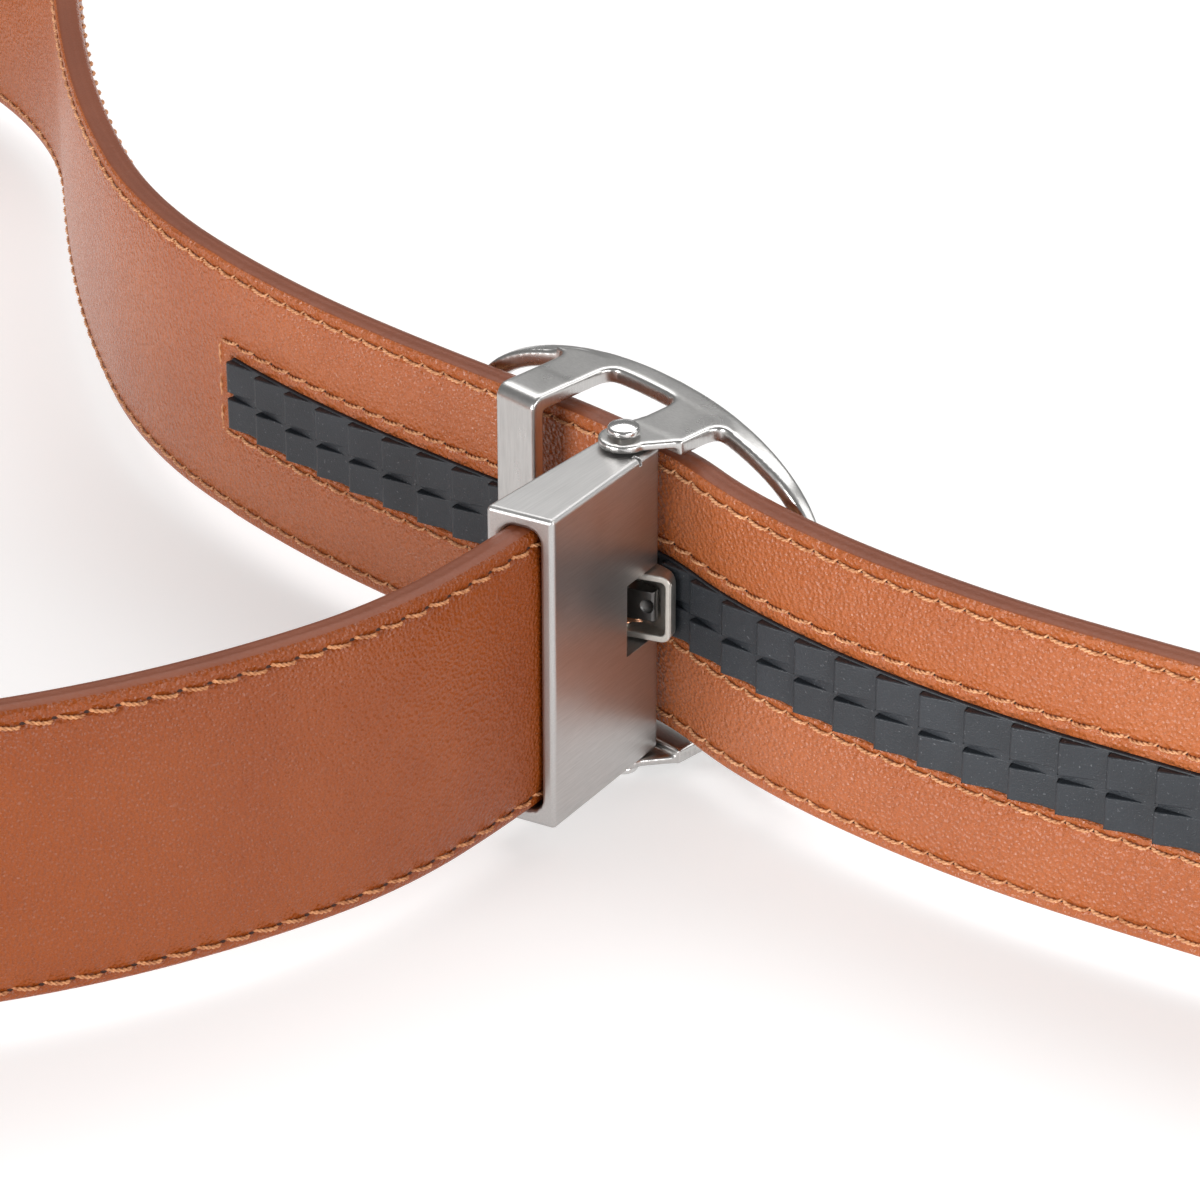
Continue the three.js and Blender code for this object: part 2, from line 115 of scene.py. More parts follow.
SLIT_PLACE = 1.2
RIVET_SHANK = 2.2
RIVET_HEAD = 3.7
RIVET_DOME = 1.2
RIVET_CORNER = 0.4
PAWL_HEIGHT = 8.5
PAWL_LIFT = 0.2
PAWL_LENGTH = 6.0
PAWL_FRONT = 1.5
PAWL_BACK = 2.6
PAWL_SHEET = 0.85
PAWL_NOSE = 0.5
PAWL_PIN = (-0.4, 0.0)
PAWL_ANGLE = 105.8
NOTCH_DEPTH = 4.1
NOTCH_WALL = 0.8
BLOCK_HEIGHT = 3.8
BLOCK_TAIL = 1.3
BLOCK_END = 2.0
BLOCK_DEPTH = 2.2
BLOCK_CORNER = 0.5

BOX_HALF = STRAP_WIDTH / 2 + FIT_GAP + BOX_WALL
FRAME_HALF = BOX_HALF + FIT_GAP + LUG_THICKNESS
HALF_WIDTH = STRAP_WIDTH / 2
HALF_THICK = STRAP_THICKNESS / 2

# Finer than in the CAD source
PAWL_CORNER = 1.3
PAWL_INNER_CORNER = 0.6
BLOCK_DIMPLE = 0.8
BLOCK_DIMPLE_INSET = 0.95
BLOCK_DIMPLE_DEPTH = 0.28

# Stitching that only this script adds
STITCH_PITCH = 3.3
STITCH_INSET = 1.7
WINDOW_STITCH_LOW = -5.9
WINDOW_STITCH_HIGH = 6.7
WINDOW_STITCH_END = 2.0
THREAD_RADIUS = 0.19


def turned(point, degrees):
    a = math.radians(degrees)
    x, y = point
    return (x * math.cos(a) - y * math.sin(a), x * math.sin(a) + y * math.cos(a))


# Where the buckle's frame sits in the row frame: the rivets are on the pivot
rivet_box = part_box("rivet_top")
hinge = ((rivet_box[0][0] + rivet_box[1][0]) / 2, (rivet_box[0][1] + rivet_box[1][1]) / 2)
strap_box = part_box("strap")
mid_height = (strap_box[0][2] + strap_box[1][2]) / 2
pivot_turned = turned(PIVOT, BELT_TURN)
shift = Vector((hinge[0] - pivot_turned[0] * MM, hinge[1] - pivot_turned[1] * MM, mid_height))


def rot_z(degrees):
    return Matrix.Rotation(math.radians(degrees), 4, "Z")


def moved(x, y, z=0.0):
    return Matrix.Translation(Vector((x, y, z)) * MM)


BELT = Matrix.Translation(shift) @ rot_z(BELT_TURN)
BOX = BELT @ moved(*PIVOT) @ rot_z(BOX_SWING)
PAWL = BOX @ moved(*PAWL_PIN, PAWL_LIFT) @ rot_z(PAWL_ANGLE)


# Strap route, from the clamped end to the tip
def unit(heading):
    return np.array([math.cos(math.radians(heading)), math.sin(math.radians(heading))])


def arc_step(heading, length, turn):
    if abs(turn) < TINY:
        return unit(heading) * length
    half = math.radians(turn / 2)
    return unit(heading + turn / 2) * (length * math.sin(half) / half)


def step_over(rows, heading):
    total = np.zeros(2)
    for length, turn in rows:
        total = total + arc_step(heading, length, turn)
        heading += turn
    return total, heading


def rows_of(arcs, length):
    parts = sum(part for part, _ in arcs)
    return [(length * part / parts, turn) for part, turn in arcs]


def closed_route():
    """The strap's arcs and its start. The two hidden arcs' lengths are solved to close the loop."""
    start = np.array(PIVOT) + unit(BOX_SWING) * (BOX_DEPTH - CLAMPED_LENGTH)
    near_rows = [(CLAMPED_LENGTH, 0)] + rows_of(FRONT_ARCS, FRONT_LENGTH)
    near, near_heading = step_over(near_rows, BOX_SWING)
    back_rows = rows_of(BACK_ARCS, BACK_LENGTH)
    back_heading = -sum(turn for _, turn in back_rows) - 360
    back, _ = step_over(back_rows, back_heading)
    gap = np.array(STRAP_AT_BUCKLE) - start - near - back
    near_turn = back_heading - near_heading - FAR_LOOP_TURN
    a = arc_step(near_heading, 1, FAR_LOOP_TURN)
    b = arc_step(near_heading + FAR_LOOP_TURN, 1, near_turn)
    first, second = np.linalg.solve(np.array([a, b]).T, gap)
    rows = near_rows + [(first, FAR_LOOP_TURN), (second, near_turn)] + back_rows
    return rows + rows_of(FREE_ARCS, FREE_LENGTH), start


ROUTE, ROUTE_START = closed_route()
STRAP_LENGTH = sum(length for length, _ in ROUTE)
BUCKLE_STATION = STRAP_LENGTH - FREE_LENGTH
TRACK_FROM = BUCKLE_STATION - TRACK_BEFORE_BUCKLE
TRACK_TO = STRAP_LENGTH - TRACK_TO_TIP
WINDOW_LOW = TRACK_LIFT - TRACK_HEIGHT / 2
WINDOW_HIGH = TRACK_LIFT + TRACK_HEIGHT / 2


def route_knots():
    knots = []
    place, heading, edge = ROUTE_START.copy(), BOX_SWING, 0.0
    for length, turn in ROUTE:
        knots.append((edge, place.copy(), heading, length, turn))
        place = place + arc_step(heading, length, turn)
        heading += turn
        edge += length
    return knots


KNOTS = route_knots()


def route_at(station):
    for edge, place, heading, length, turn in reversed(KNOTS):
        if station >= edge or edge == 0.0:
            left = station - edge
            part = turn * left / length
            return place + arc_step(heading, left, part), heading + part


def beside(station, offset):
    """A point beside the strap's middle. A positive offset is on the outside of the belt."""
    place, heading = route_at(station)
    return place + unit(heading + 90) * offset


def mesh_object(name, verts, faces, place=BELT, smooth=True):
    """A mesh given in millimetres, as an object at its place in the row frame."""
    mesh = bpy.data.meshes.new(name)
    mesh.from_pydata([tuple(float(c) * MM for c in v) for v in verts], [], faces)
    mesh.validate()
    bm = bmesh.new()
    bm.from_mesh(mesh)
    bmesh.ops.recalc_face_normals(bm, faces=bm.faces)
    bm.to_mesh(mesh)
    bm.free()
    for polygon in mesh.polygons:
        polygon.use_smooth = smooth
    obj = bpy.data.objects.new(name, mesh)
    bpy.context.scene.collection.objects.link(obj)
    obj.matrix_world = place
    return obj


def settled(obj):
    """The object with its place worked into its mesh, as long pieces need for a tight box."""
    obj.data.transform(obj.matrix_world)
    obj.matrix_world = Matrix.Identity(4)
    return obj


def extruded(outline, low, high, axis="Z"):
    """A closed outline raised from low to high. axis X pushes a (Y, Z) outline along X."""
    n = len(outline)
    verts = []
    for level in (low, high):
        for a, b in outline:
            verts.append((a, b, level) if axis == "Z" else (level, a, b))
    faces = [tuple(range(n))[::-1], tuple(range(n, 2 * n))]
    faces += [(i, (i + 1) % n, n + (i + 1) % n, n + i) for i in range(n)]
    return verts, faces


def arc_points(cx, cy, r, start, sweep, steps):
    """Points along an arc that starts at an angle and turns over a sweep, both in degrees."""
    angles = [math.radians(start + sweep * i / steps) for i in range(steps + 1)]
    return [(cx + r * math.cos(a), cy + r * math.sin(a)) for a in angles]


def rounded_rect(x0, y0, x1, y1, r, steps=6):
    points = arc_points(x1 - r, y0 + r, r, -90, 90, steps)
    points += arc_points(x1 - r, y1 - r, r, 0, 90, steps)
    points += arc_points(x0 + r, y1 - r, r, 90, 90, steps)
    return points + arc_points(x0 + r, y0 + r, r, 180, 90, steps)


def skin(rings, sides):
    """Faces over a stack of rings that have as many sides each, with a cap at both ends."""
    faces = []
    for i in range(rings - 1):
        for k in range(sides):
            a, b = i * sides + k, i * sides + (k + 1) % sides
            faces.append((a, b, b + sides, a + sides))
    faces.append(tuple(range(sides))[::-1])
    last = (rings - 1) * sides
    faces.append(tuple(range(last, last + sides)))
    return faces


def joined(parts):
    verts, faces = [], []
    for v, f in parts:
        base = len(verts)
        verts.extend(v)
        faces.extend(tuple(i + base for i in face) for face in f)
    return verts, faces


def applied(obj):
    """The object with its modifiers worked into its mesh."""
    graph = bpy.context.evaluated_depsgraph_get()
    mesh = bpy.data.meshes.new_from_object(obj.evaluated_get(graph))
    obj.modifiers.clear()
    old = obj.data
    obj.data = mesh
    bpy.data.meshes.remove(old)
    return obj


def cut_by(obj, tool, operation="DIFFERENCE"):
    modifier = obj.modifiers.new("cut", "BOOLEAN")
    modifier.operation = operation
    modifier.solver = "EXACT"
    modifier.object = tool
    bpy.context.view_layer.update()
    applied(obj)
    bpy.data.objects.remove(tool)


def cut(obj, verts, faces):
    """Cuts a closed shape, in the object's own frame, out of the object."""
    cut_by(obj, mesh_object("cutter", verts, faces, obj.matrix_world.copy(), smooth=False))


def kept(obj, verts, faces):
    """Keeps what of the object is inside a closed shape."""
    shape = mesh_object("keeper_shape", verts, faces, obj.matrix_world.copy(), smooth=False)
    cut_by(obj, shape, "INTERSECT")


def shaded_smooth(obj):
    for polygon in obj.data.polygons:
        polygon.use_smooth = True


def bevelled(obj, width, segments, angle):
    modifier = obj.modifiers.new("edges", "BEVEL")
    modifier.width = width * MM
    modifier.segments = segments
    modifier.limit_method = "ANGLE"
    modifier.angle_limit = math.radians(angle)
    modifier.use_clamp_overlap = False
    modifier.harden_normals = True
    bpy.context.view_layer.update()
    return applied(obj)


# What a tube's sides are turned from, where it lies flat and where it runs steeply
TUBE_UP = np.array([0.0, 0.0, 1.0])
TUBE_ASIDE = np.array([0.3, 0.8, 0.1])
STEEP = 0.9


def tube(points, radius, sides=5):
    """A thin tube along a list of points, for thread and wire."""
    points = np.array(points)
    tangents = np.gradient(points, axis=0)
    tangents /= np.linalg.norm(tangents, axis=1)[:, None]
    ref = TUBE_ASIDE if abs(tangents[:, 2]).max() > STEEP else TUBE_UP
    side = np.cross(tangents, ref)
    side /= np.linalg.norm(side, axis=1)[:, None]
    up = np.cross(side, tangents)
    verts = []
    for i, p in enumerate(points):
        for k in range(sides):
            a = 2 * math.pi * k / sides
            verts.append(p + radius * (math.cos(a) * side[i] + math.sin(a) * up[i]))
    return verts, skin(len(points), sides)


# Strap
EDGE_ROUND_OUT = 0.6
EDGE_ROUND_IN = 0.5
PAINT_INSET = 0.2
CROWN_DEPTH = 0.8
CROWN_WIDTH = 6.0
PUFF_DEPTH = 0.16
LINING_FALL = 1.8 * PUFF_DEPTH
GROOVE_DEPTH = 0.2
GROOVE_WIDTH = 0.36
THREAD_PULL = 0.8
START_ROUND = 1.2
WINDOW_LIP = 0.15
# The painted edge: how far beside the strap's middle, and how far it stands out
EDGE_BAND = [(0.4, 0.12), (-0.1, 0.15), (-0.45, 0.03), (-0.8, 0.13)]
# Lines along the strap's faces, from the edge inwards and then beside the middle
FACE_INSETS = [0, 0.08, 0.22, 0.42, 0.65, 1.2, 1.5, 1.7, 1.9, 2.2, 2.7, 3.4, 4.6, 6.2]
OUTER_MIDDLE = [7.5, 3.0]
INNER_MIDDLE = 9.0
WINDOW_MIDDLE = 1.5
GROOVE_LINES = (-0.5, -0.22, 0, 0.22, 0.5)
# Stations towards the tip, closer and closer to its end
TIP_STATIONS = [*range(24, 4, -1), 4, 3.2, 2.5, 1.9, 1.4, 1.0, 0.65, 0.35, 0.15, 0.04, 0.0]


def rounded_edge(inset, radius):
    if inset >= radius:
        return 0.0
    return radius - math.sqrt(max(0.0, radius * radius - (radius - max(inset, 0.0)) ** 2))


def groove(distance, pull):
    return GROOVE_DEPTH * (1 + pull) * math.exp(-((distance / GROOVE_WIDTH) ** 2))


def edge_inset(z, to_tip):
    """How far a point of the strap's face is from its outline."""
    if to_tip >= TIP_LENGTH:
        return HALF_WIDTH - abs(z)
    along = (TIP_LENGTH - to_tip) / TIP_LENGTH
    rho = math.hypot(along, z / HALF_WIDTH)
    slope = math.hypot(along / TIP_LENGTH, z / HALF_WIDTH ** 2) / max(rho, TINY)
    return max(0.0, (1 - rho) / slope)


def half_width_at(to_tip):
    if to_tip >= TIP_LENGTH:
        return HALF_WIDTH
    return HALF_WIDTH * math.sqrt(max(0.0, 1 - ((TIP_LENGTH - to_tip) / TIP_LENGTH) ** 2))


def face_drop(inset, outside, window_line):
    """How far the padded face lies below its highest line."""
    near_edge = max(0.0, 1 - inset / CROWN_WIDTH)
    if outside:
        return CROWN_DEPTH * near_edge ** 2
    if not window_line:
        return LINING_FALL * near_edge ** 2
    if inset > HALF_WIDTH - window_line or inset < STITCH_INSET:
        return PUFF_DEPTH
    across = (inset - STITCH_INSET) / (HALF_WIDTH - window_line - STITCH_INSET)
    return PUFF_DEPTH * (1 - math.sin(math.pi * across))


def edge_slot(k, ring, kinds, insets):
    """Material of one strip along the strap: 0 outer leather, 1 lining, 2 painted edge."""
    after = (k + 1) % ring
    if kinds[k] == "band" or kinds[after] == "band":
        return 2
    if insets[k] < PAINT_INSET and insets[after] < PAINT_INSET:
        return 2
    return 0 if kinds[k] == "outer" else 1


def strap_profile():
    """The strap's section, once round: kind of face, height, and the edge band's place and rise."""
    face = [HALF_WIDTH - inset for inset in FACE_INSETS]
    outer = [-z for z in face] + [-z for z in OUTER_MIDDLE] + OUTER_MIDDLE[::-1] + face[::-1]
    pocket = [WINDOW_STITCH_LOW + d for d in GROOVE_LINES]
    pocket += [WINDOW_LOW - WINDOW_LIP, WINDOW_LOW, -WINDOW_MIDDLE]
    pocket += [WINDOW_MIDDLE, WINDOW_HIGH, WINDOW_HIGH + WINDOW_LIP]
    pocket += [WINDOW_STITCH_HIGH + d for d in GROOVE_LINES]
    inner = [-z for z in face] + [-INNER_MIDDLE] + pocket + [INNER_MIDDLE] + face[::-1]
    profile = [("outer", z, 0, 0) for z in outer]
    profile += [("band", HALF_WIDTH, *band) for band in EDGE_BAND]
    profile += [("inner", z, 0, 0) for z in inner[::-1]]
    return profile + [("band", -HALF_WIDTH, *band) for band in EDGE_BAND[::-1]]


def strap_stations():
    ends = [TRACK_FROM - WINDOW_LIP, TRACK_FROM, TRACK_TO, TRACK_TO + WINDOW_LIP]
    stations = np.arange(0.0, STRAP_LENGTH - TIP_LENGTH, STITCH_PITCH / 3)
    stations = [s for s in stations if all(abs(s - end) > WINDOW_LIP for end in ends)]
    return sorted(stations + ends + [STRAP_LENGTH - d for d in TIP_STATIONS])


def strap_drop(kind, z0, z, station):
    """How far a point of the strap's face lies below the face's highest line."""
    outside = kind == "outer"
    pull = THREAD_PULL * math.cos(2 * math.pi * station / STITCH_PITCH)
    inset = edge_inset(z, STRAP_LENGTH - station)
    radius = EDGE_ROUND_OUT if outside else EDGE_ROUND_IN
    drop = rounded_edge(inset, radius) + groove(inset - STITCH_INSET, pull)
    drop += rounded_edge(START_ROUND - max(0.0, START_ROUND - station), START_ROUND)
    window_line = 0.0
    by_window = TRACK_FROM - WINDOW_STITCH_END < station < TRACK_TO + WINDOW_STITCH_END
    if by_window:
        window_line = WINDOW_STITCH_HIGH if z > 0 else -WINDOW_STITCH_LOW
    drop += face_drop(inset, outside, window_line)
    if by_window and not outside:
        drop += groove(z - WINDOW_STITCH_LOW, pull) + groove(z - WINDOW_STITCH_HIGH, pull)
    if not outside and TRACK_FROM <= station <= TRACK_TO and WINDOW_LOW <= z0 <= WINDOW_HIGH:
        drop += TRACK_SUNK - PUFF_DEPTH
    return drop


def strap_piece():
    profile = strap_profile()
    stations = strap_stations()
    verts = []
    for station in stations:
        half = half_width_at(STRAP_LENGTH - station)
        place, heading = route_at(station)
        across = unit(heading + 90)
        for kind, z0, beside_middle, rise in profile:
            z = z0 * half / HALF_WIDTH
            if kind == "band":
                point = place + across * beside_middle
                z += math.copysign(rise * min(1.0, half / 2), z0)
            else:
                side = 1 if kind == "outer" else -1
                point = place + across * side * (HALF_THICK - strap_drop(kind, z0, z, station))
            verts.append((*point, z))
    ring = len(profile)
    kinds = [row[0] for row in profile]
    insets = [HALF_WIDTH - abs(row[1]) for row in profile]
    # The tip closes to a line, so it takes no cap
    faces = skin(len(stations), ring)[:-1]
    slots = [edge_slot(k, ring, kinds, insets) for k in range(ring)] * (len(stations) - 1) + [0]
    obj = mesh_object("strap_leather", verts, faces)
    for polygon, slot in zip(obj.data.polygons, slots):
        polygon.material_index = slot
    return settled(obj)


# Stitches. Thread runs from hole to hole as two plies that twist round each other and bow out.
STITCH_STEPS = 11
STITCH_GAP = 0.07
STITCH_TURNS = 2.4
STITCH_FLATNESS = 0.4
STITCH_SUNK = 0.2
STITCH_BOW = 0.6
STITCH_LEAN_OUT = 0.55
STITCH_LEAN_IN = -0.3
PLY_OFFSET = 0.13
PLY_RADIUS = 0.75 * THREAD_RADIUS
UPRIGHT_STEPS = 8
UPRIGHT_GAP = 0.06
UPRIGHT_TURNS = 1.6
UPRIGHT_FLATNESS = 0.6
UPRIGHT_SUNK = 0.12
UPRIGHT_BOW = 0.26
UPRIGHT_PLY_OFFSET = 0.09
UPRIGHT_PLY_RADIUS = 0.72 * THREAD_RADIUS
# The loop at a hole of the lining: along the strap, out of it and up
LOOP_POINTS = ((-0.3, -0.15, -0.05), (-0.12, 0.3, 0.14), (0.1, 0.36, 0.34), (0.26, 0.0, 0.5))
LOOP_RADIUS = 0.7 * THREAD_RADIUS
HOLE_SIDES = 8
HOLE_SUNK = 0.8 * GROOVE_DEPTH
HOLE_LEVELS = ((0.02, 1.0), (0.09, 0.85))
HOLE_HALF_LENGTH = 0.42
HOLE_HALF_HEIGHT = 0.3
HOLE_LEAN = 0.35
TIP_WALK_STEPS = 400
WINDOW_END_STITCHES = 3


def stitch_drop(side):
    """How far the bottom of the stitches' groove lies below the strap's highest line."""
    return GROOVE_DEPTH + (face_drop(STITCH_INSET, True, 0) if side > 0 else PUFF_DEPTH)


def thread_loop(station, z, side, surface_drop):
    """The little loop of thread that stands out of a hole on the lining."""
    points = []
    for along, out, up in LOOP_POINTS:
        place = beside(station + along, side * (HALF_THICK - surface_drop + out))
        points.append((*place, z + up))
    return tube(points, LOOP_RADIUS, sides=4)


def stitch_run(stations, heights, side):
    """Thread along the strap. stations and heights give the holes in order."""
    surface_drop = stitch_drop(side)
    slant = STITCH_LEAN_OUT if side > 0 else STITCH_LEAN_IN
    parts = []
    for i in range(len(stations) - 1):
        for ply in (0, math.pi):
            points = []
            for k in range(STITCH_STEPS + 1):
                t = k / STITCH_STEPS
                shown = STITCH_GAP + (1 - 2 * STITCH_GAP) * t
                station = stations[i] + (stations[i + 1] - stations[i]) * shown
                z = heights[i] + (heights[i + 1] - heights[i]) * t
                twist = 2 * math.pi * STITCH_TURNS * t + ply
                bow = STITCH_BOW * math.sin(math.pi * t) ** STITCH_FLATNESS
                offset = HALF_THICK - surface_drop - STITCH_SUNK + bow
                offset += PLY_OFFSET * math.cos(twist)
                place = beside(station, side * offset)
                z += slant * (t - 0.5) + PLY_OFFSET * math.sin(twist)
                points.append((*place, z))
            parts.append(tube(points, PLY_RADIUS, sides=4))
        if side < 0:
            parts.append(thread_loop(stations[i], heights[i], side, surface_drop))
    return parts


def hole_run(stations, heights, side):
    """Painted shade of the needle holes: dark flat slanted discs."""
    parts = []
    surface_drop = stitch_drop(side) + HOLE_SUNK
    for station, z in zip(stations, heights):
        _, heading = route_at(station)
        along = unit(heading)
        verts = []
        for level, scale in HOLE_LEVELS:
            centre = beside(station, side * (HALF_THICK - surface_drop + level))
            for k in range(HOLE_SIDES):
                a = 2 * math.pi * k / HOLE_SIDES
                du = HOLE_HALF_LENGTH * scale * math.cos(a)
                dz = HOLE_HALF_HEIGHT * scale * math.sin(a) + HOLE_LEAN * du * side
                verts.append((centre[0] + along[0] * du, centre[1] + along[1] * du, z + dz))
        parts.append((verts, skin(len(HOLE_LEVELS), HOLE_SIDES)))
    return parts


def edge_stitch_path(sign):
    """Holes of one edge's row, round the tip's outline to its middle."""
    stations, heights = [], []
    for i in range(1, int((STRAP_LENGTH - TIP_LENGTH) / STITCH_PITCH) + 1):
        stations.append(i * STITCH_PITCH)
        heights.append(sign * (HALF_WIDTH - STITCH_INSET))
    a, b = TIP_LENGTH - STITCH_INSET, HALF_WIDTH - STITCH_INSET
    walked = 0.0
    last = (0.0, b)
    centre = STRAP_LENGTH - TIP_LENGTH
    spare = centre - stations[-1]
    for i in range(1, TIP_WALK_STEPS + 1):
        angle = math.pi / 2 * i / TIP_WALK_STEPS
        point = (a * math.sin(angle), b * math.cos(angle))
        walked += math.hypot(point[0] - last[0], point[1] - last[1])
        last = point
        if walked + spare >= STITCH_PITCH:
            stations.append(centre + point[0])
            heights.append(sign * point[1])
            walked, spare = 0.0, 0.0
    return stations, heights


def window_stitch_path():
    """Holes of the stitching round the track's window."""
    start, end = TRACK_FROM - WINDOW_STITCH_END, TRACK_TO + WINDOW_STITCH_END
    count = int(round((end - start) / STITCH_PITCH))
    rise = WINDOW_STITCH_HIGH - WINDOW_STITCH_LOW
    rises = [rise * i / WINDOW_END_STITCHES for i in range(1, WINDOW_END_STITCHES + 1)]
    stations = [start + (end - start) * i / count for i in range(count + 1)]
    heights = [WINDOW_STITCH_LOW] * (count + 1)
    stations += [end] * (WINDOW_END_STITCHES - 1)
    heights += [WINDOW_STITCH_LOW + r for r in rises[:-1]]
    stations += [end - (end - start) * i / count for i in range(count + 1)]
    heights += [WINDOW_STITCH_HIGH] * (count + 1)
    stations += [start] * WINDOW_END_STITCHES
    heights += [WINDOW_STITCH_HIGH - r for r in rises]
    return stations, heights


def upright_stitches(stations, heights, side):
    """Thread where a run of stitches stands upright, at one station."""
    parts = []
    for i in range(len(stations) - 1):
        for ply in (0, math.pi):
            points = []
            for k in range(UPRIGHT_STEPS + 1):
                t = k / UPRIGHT_STEPS
                shown = UPRIGHT_GAP + (1 - 2 * UPRIGHT_GAP) * t
                z = heights[i] + (heights[i + 1] - heights[i]) * shown
                twist = 2 * math.pi * UPRIGHT_TURNS * t + ply
                bow = UPRIGHT_BOW * math.sin(math.pi * t) ** UPRIGHT_FLATNESS
                offset = HALF_THICK - PUFF_DEPTH - UPRIGHT_SUNK + bow
                offset += UPRIGHT_PLY_OFFSET * math.cos(twist)
                place = beside(stations[i] + UPRIGHT_PLY_OFFSET * math.sin(twist), side * offset)
                points.append((*place, z))
            parts.append(tube(points, UPRIGHT_PLY_RADIUS))
    return parts


def stitching():
    outer, inner, holes = [], [], []
    for sign in (-1, 1):
        stations, heights = edge_stitch_path(sign)
        outer += stitch_run(stations, heights, 1)
        inner += stitch_run(stations, heights, -1)
        holes += hole_run(stations, heights, 1)
        holes += hole_run(stations, heights, -1)
    stations, heights = window_stitch_path()
    level = [[]]
    for i, (s, z) in enumerate(zip(stations, heights)):
        if i and abs(s - stations[i - 1]) < TINY:
            inner += upright_stitches(stations[i - 1:i + 1], heights[i - 1:i + 1], -1)
            level.append([])
        level[-1].append((s, z))
    for run in level:
        if len(run) > 1:
            inner += stitch_run([p[0] for p in run], [p[1] for p in run], -1)
    holes += hole_run(stations, heights, -1)
    return [settled(mesh_object(name, *joined(parts))) for name, parts in (
        ("outer_stitches", outer), ("lining_stitches", inner), ("stitch_hole_shades", holes))]


# Toothed track. Each tooth: how far along it and how high, as a share of its rise
SLOPE_END = TOOTH_PITCH - TOOTH_GAP
TOOTH_CREST = [(0.0, 0.0), (0.05, 0.5), (0.15, 0.77), (0.34, 0.92), (0.62, 0.905)]
TOOTH_CREST += [(SLOPE_END - 0.15, 0.037), (SLOPE_END + 0.15, 0.0)]
TOOTH_ROUND = 0.22
BASE_STEP = 3.0
BASE_SUNK = 0.02


def rail(rows, low, high):
    """A solid along the strap. Each row gives a station and two offsets beside the middle."""
    verts = []
    for station, front, back in rows:
        face, hidden = beside(station, front), beside(station, back)
        verts += [(*face, low), (*hidden, low), (*hidden, high), (*face, high)]
    return verts, skin(len(rows), 4)


def track_row(low, high):
    start = TRACK_FROM + FIT_GAP
    count = int((TRACK_TO - TRACK_FROM - 2 * FIT_GAP) // TOOTH_PITCH)
    face, back = -HALF_THICK, -HALF_THICK + TRACK_SUNK / 2
    rows = []
    for i in range(count):
        at = start + i * TOOTH_PITCH
        rows += [(at + along, face - TOOTH_RISE * rise, back) for along, rise in TOOTH_CREST]
    rows.append((start + count * TOOTH_PITCH, face, back))
    return rail(rows, low, high)


def track_base():
    stations = np.arange(TRACK_FROM + FIT_GAP, TRACK_TO - FIT_GAP, BASE_STEP)
    half = TRACK_HEIGHT / 2 - FIT_GAP / 3
    front, back = -HALF_THICK + BASE_SUNK, -HALF_THICK + TRACK_SUNK - BASE_SUNK
    rows = [(station, front, back) for station in [*stations, TRACK_TO - FIT_GAP]]
    return rail(rows, TRACK_LIFT - half, TRACK_LIFT + half)


def track_piece():
    half = TRACK_HEIGHT / 2 - FIT_GAP
    upper = track_row(TRACK_LIFT + ROW_GROOVE / 2, TRACK_LIFT + half)
    lower = track_row(TRACK_LIFT - half, TRACK_LIFT - ROW_GROOVE / 2)
    obj = mesh_object("track_rubber_teeth", *joined([upper, lower, track_base()]))
    return settled(bevelled(obj, TOOTH_ROUND, segments=3, angle=35))


# Buckle frame
RING_SEGMENTS = 360
RING_SWELL_POWER = 1.5
ARM_SUNK = 0.04
CAST_VOXEL = 0.21
CAST_SMOOTHING = 14


def swell_at(u):
    return max(0.0, 1 - (2 * (u - RING_END[0]) / FRAME_LENGTH) ** 2)


def ring_front_at(u):
    swell = swell_at(u)
    bow = RING_RISE * swell ** RING_SWELL_POWER
    return RING_END[1] + bow + RING_LEAN * (u - RING_END[0]) * swell


def ring_depth_at(u):
    return RING_END_DEPTH + (RING_DEPTH - RING_END_DEPTH) * swell_at(u)


def ring_shape():
    section = rounded_rect(0, 0, RING_WIDTH, RING_DEPTH, RING_CORNER, steps=4)
    half = FRAME_LENGTH / 2
    power = 2 / RING_POWER
    verts, faces = [], []
    for i in range(RING_SEGMENTS):
        angle = 2 * math.pi * i / RING_SEGMENTS
        c, s = math.cos(angle), math.sin(angle)
        rim = np.array([half * math.copysign(abs(c) ** power, c),
                        FRAME_HALF * math.copysign(abs(s) ** power, s)])
        normal = np.array([math.copysign(abs(c) ** (2 - power), c) / half,
                           math.copysign(abs(s) ** (2 - power), s) / FRAME_HALF])
        normal /= np.linalg.norm(normal)
        for inward, level in section:
            place = rim - normal * inward
            u = RING_END[0] + place[0]
            back = ring_front_at(u) - ring_depth_at(u) * (1 - level / RING_DEPTH)
            verts.append((u, back, place[1]))
    n = len(section)
    for i in range(RING_SEGMENTS):
        after = (i + 1) % RING_SEGMENTS
        for k in range(n):
            beyond = (k + 1) % n
            faces.append((i * n + k, i * n + beyond, after * n + beyond, after * n + k))
    return verts, faces


def curve_points(start, control, end, steps=6):
    """Points along a quadratic curve, without its start."""
    points = []
    for i in range(1, steps + 1):
        t = i / steps
        points.append(tuple((1 - t) ** 2 * a + 2 * t * (1 - t) * b + t * t * c
                            for a, b, c in zip(start, control, end)))
    return points


def arm_outline(centre, width, reach):
    left, right = centre - width / 2, centre + width / 2

    def inner(u):
        return ring_front_at(u) - ring_depth_at(u) + FIT_GAP

    def middle(u):
        return ring_front_at(u) - ring_depth_at(u) / 2

    points = [(left, reach), (left, inner(left) - ARM_FLARE)]
    flare = (left - ARM_FLARE, inner(left - ARM_FLARE))
    points += curve_points(points[-1], (left, inner(left)), flare)
    points += [(left, middle(left)), (right, middle(right))]
    points.append((right + ARM_FLARE, inner(right + ARM_FLARE)))
    points += curve_points(points[-1], (right, inner(right)), (right, inner(right) - ARM_FLARE))
    points.append((right, reach))
    return points


